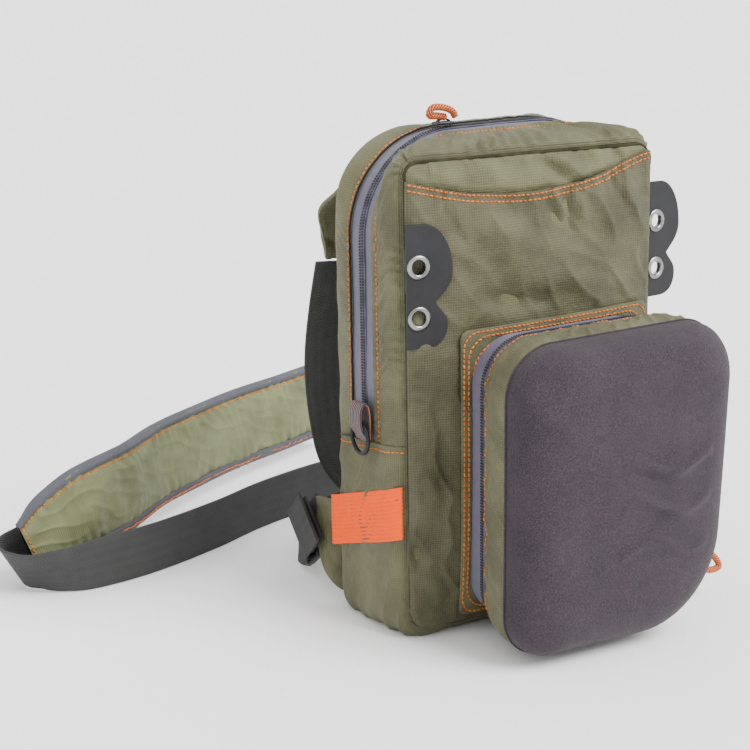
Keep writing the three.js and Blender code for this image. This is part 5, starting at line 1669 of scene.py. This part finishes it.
def lower_strap():
    """Webbing from its free end through the buckle, along the floor to the pad's back."""
    centre, run, face, bar = buckle_frame()
    slot, grip = BUCKLE["slot_at"], BUCKLE_GRIP
    tail = [
        (-24, -grip - 5),
        (-10, -grip - 3),
        (slot - 3, -grip - 1.6),
        (slot - 0.2, -1.8),
        (slot, 2),
        (slot + 1.7, grip + 0.7),
        (slot + 9, grip + 0.7),
    ]
    start = [(tuple(centre + run * a + face * b), tuple(-bar)) for a, b in tail]
    route = start + LOWER_ROUTE + [behind_pad(k) for k in (3.6, 3.9, 4.2, 4.6)]
    strap_band("lower_webbing", route, 640, "strap_lower")


# Shoulder pad

PAD_STEPS = 300


def foam_half(a):
    flat = PAD_THICKNESS / 2 - CLOTH - GAP - FOAM_RIM
    return FOAM_RIM + flat * (1 - np.minimum(1, np.abs(a) / PAD_EDGE) ** 4)


def pad_route():
    """Path along the pad, and the share of its width at each point."""
    path = smooth_path([at for at, _ in PAD_ROUTE], PAD_STEPS)
    width = smooth_path([(share, 0, 0) for _, share in PAD_ROUTE], PAD_STEPS)[:, 0]
    return path, np.minimum(1, width)


def pad_face(name, look, sign, nodes):
    """One face of the pad: the front with sign 1, the back with -1 and only a fifth of the relief."""
    path, width = pad_route()
    across = np.linspace(-PAD_EDGE, PAD_EDGE, 67)
    through = np.broadcast_to(sign * (foam_half(across) + GAP + CLOTH), (len(path), len(across)))
    points = sweep(path, (0, 0, 1), np.stack([np.outer(width, across), through], -1))
    surface = Surface(points, columns=across, flip=sign < 0)
    u, _ = surface.lengths()
    v = np.broadcast_to(across, u.shape)
    edge = PAD_EDGE - np.abs(v)
    amount = 1.2 * np.sin(math.pi * clamp(edge / PAD_EDGE) / 2) - 0.5 * tuck(edge - 4.5, 1.5) - 0.3
    amount += 0.9 * puckers(u, edge - 4, 9, 9, 95) + 0.6 * ripple(u, v, 42, 96)
    amount += 0.5 * creases(u, v, 20, 97, lean=1.2, spread=0.5)
    amount += fold(u, v, (40, -24), (62, 20), 5, 1.1) - fold(u, v, (52, -24), (78, 22), 5, 0.9)
    surface.relief(amount if sign > 0 else 0.2 * amount)
    return surface, cloth_piece(name, surface, 1.2, look, replaces=nodes, uv=(u, v))


def pad_faces():
    surface, cover = pad_face("pad_cover_cloth", "pad", 1, ["pad_cover", "pad_foam"])
    rows = surface.rows
    lines = [
        surface.at(rows, PAD_EDGE - PAD_STITCHES["upper"]),
        surface.at(rows, PAD_STITCHES["lower"] - PAD_EDGE, lift=PAD_STITCHES["lower_lift"]),
    ]
    lines.append(surface.at(rows[6], surface.columns[6:-6]))
    stitches("pad_stitches", lines, seed=22)
    pad_face("pad_backing_mesh", "mesh", -1, ["pad_backing"])


def pad_bindings():
    """Tape folded over each long edge of the pad."""
    path, width = pad_route()
    slim = float(foam_half(PAD_EDGE)) + 2 * GAP + CLOTH
    turn = PAD_EDGE + GAP
    for name, sign, share in (("pad_binding_upper", 1, 0.9), ("pad_binding_lower", -1, 0.78)):
        grip = PAD_EDGE * share
        wide = float(foam_half(grip)) + 2 * GAP + CLOTH + BINDING
        rim = [
            (grip, wide, 0),
            (grip + 2, wide, 0),
            (turn - 1, slim + 1.2, 0),
            (turn + 0.7, slim * 0.5, 0),
            (turn + 0.9, 0, 0),
        ]
        curve = smooth_path(rim, 12)[:, :2]
        skin = np.vstack([curve, (curve * (1, -1))[::-1][1:]])
        inner = skin * (1, 0.8) - (0.6, 0)
        section = np.vstack([skin, inner[::-1]]) * (sign, 1)
        section = section[None] * np.stack([width, np.ones(len(path))], 1)[:, None]
        piece = swept_piece(name + "_tape", path, (0, 0, 1), section, "binding", replaces=[name])
        if sign < 0:
            piece.data.flip_normals()


set_camera()
set_stage()
front_strip()
rear_strip()
main_zip()
lower_gusset()
for welt, sizes in WELTS.items():
    seam_welt(welt, *sizes)
front_panel()
slip_pocket()
back_panel()
pocket_flange()
pocket_tape()
pocket_coil()
pocket_border()
pocket_piping()
pocket_shell()
elastic_loop()
ring_tab()
eyelet_tabs()
main_zip_hardware()
pocket_zip_hardware()
lower_wing()
top_tab()
buckle()
anchor_webbing()
upper_frames = upper_strap()
lower_strap()
strap_end_seam(upper_frames)
pad_faces()
pad_bindings()
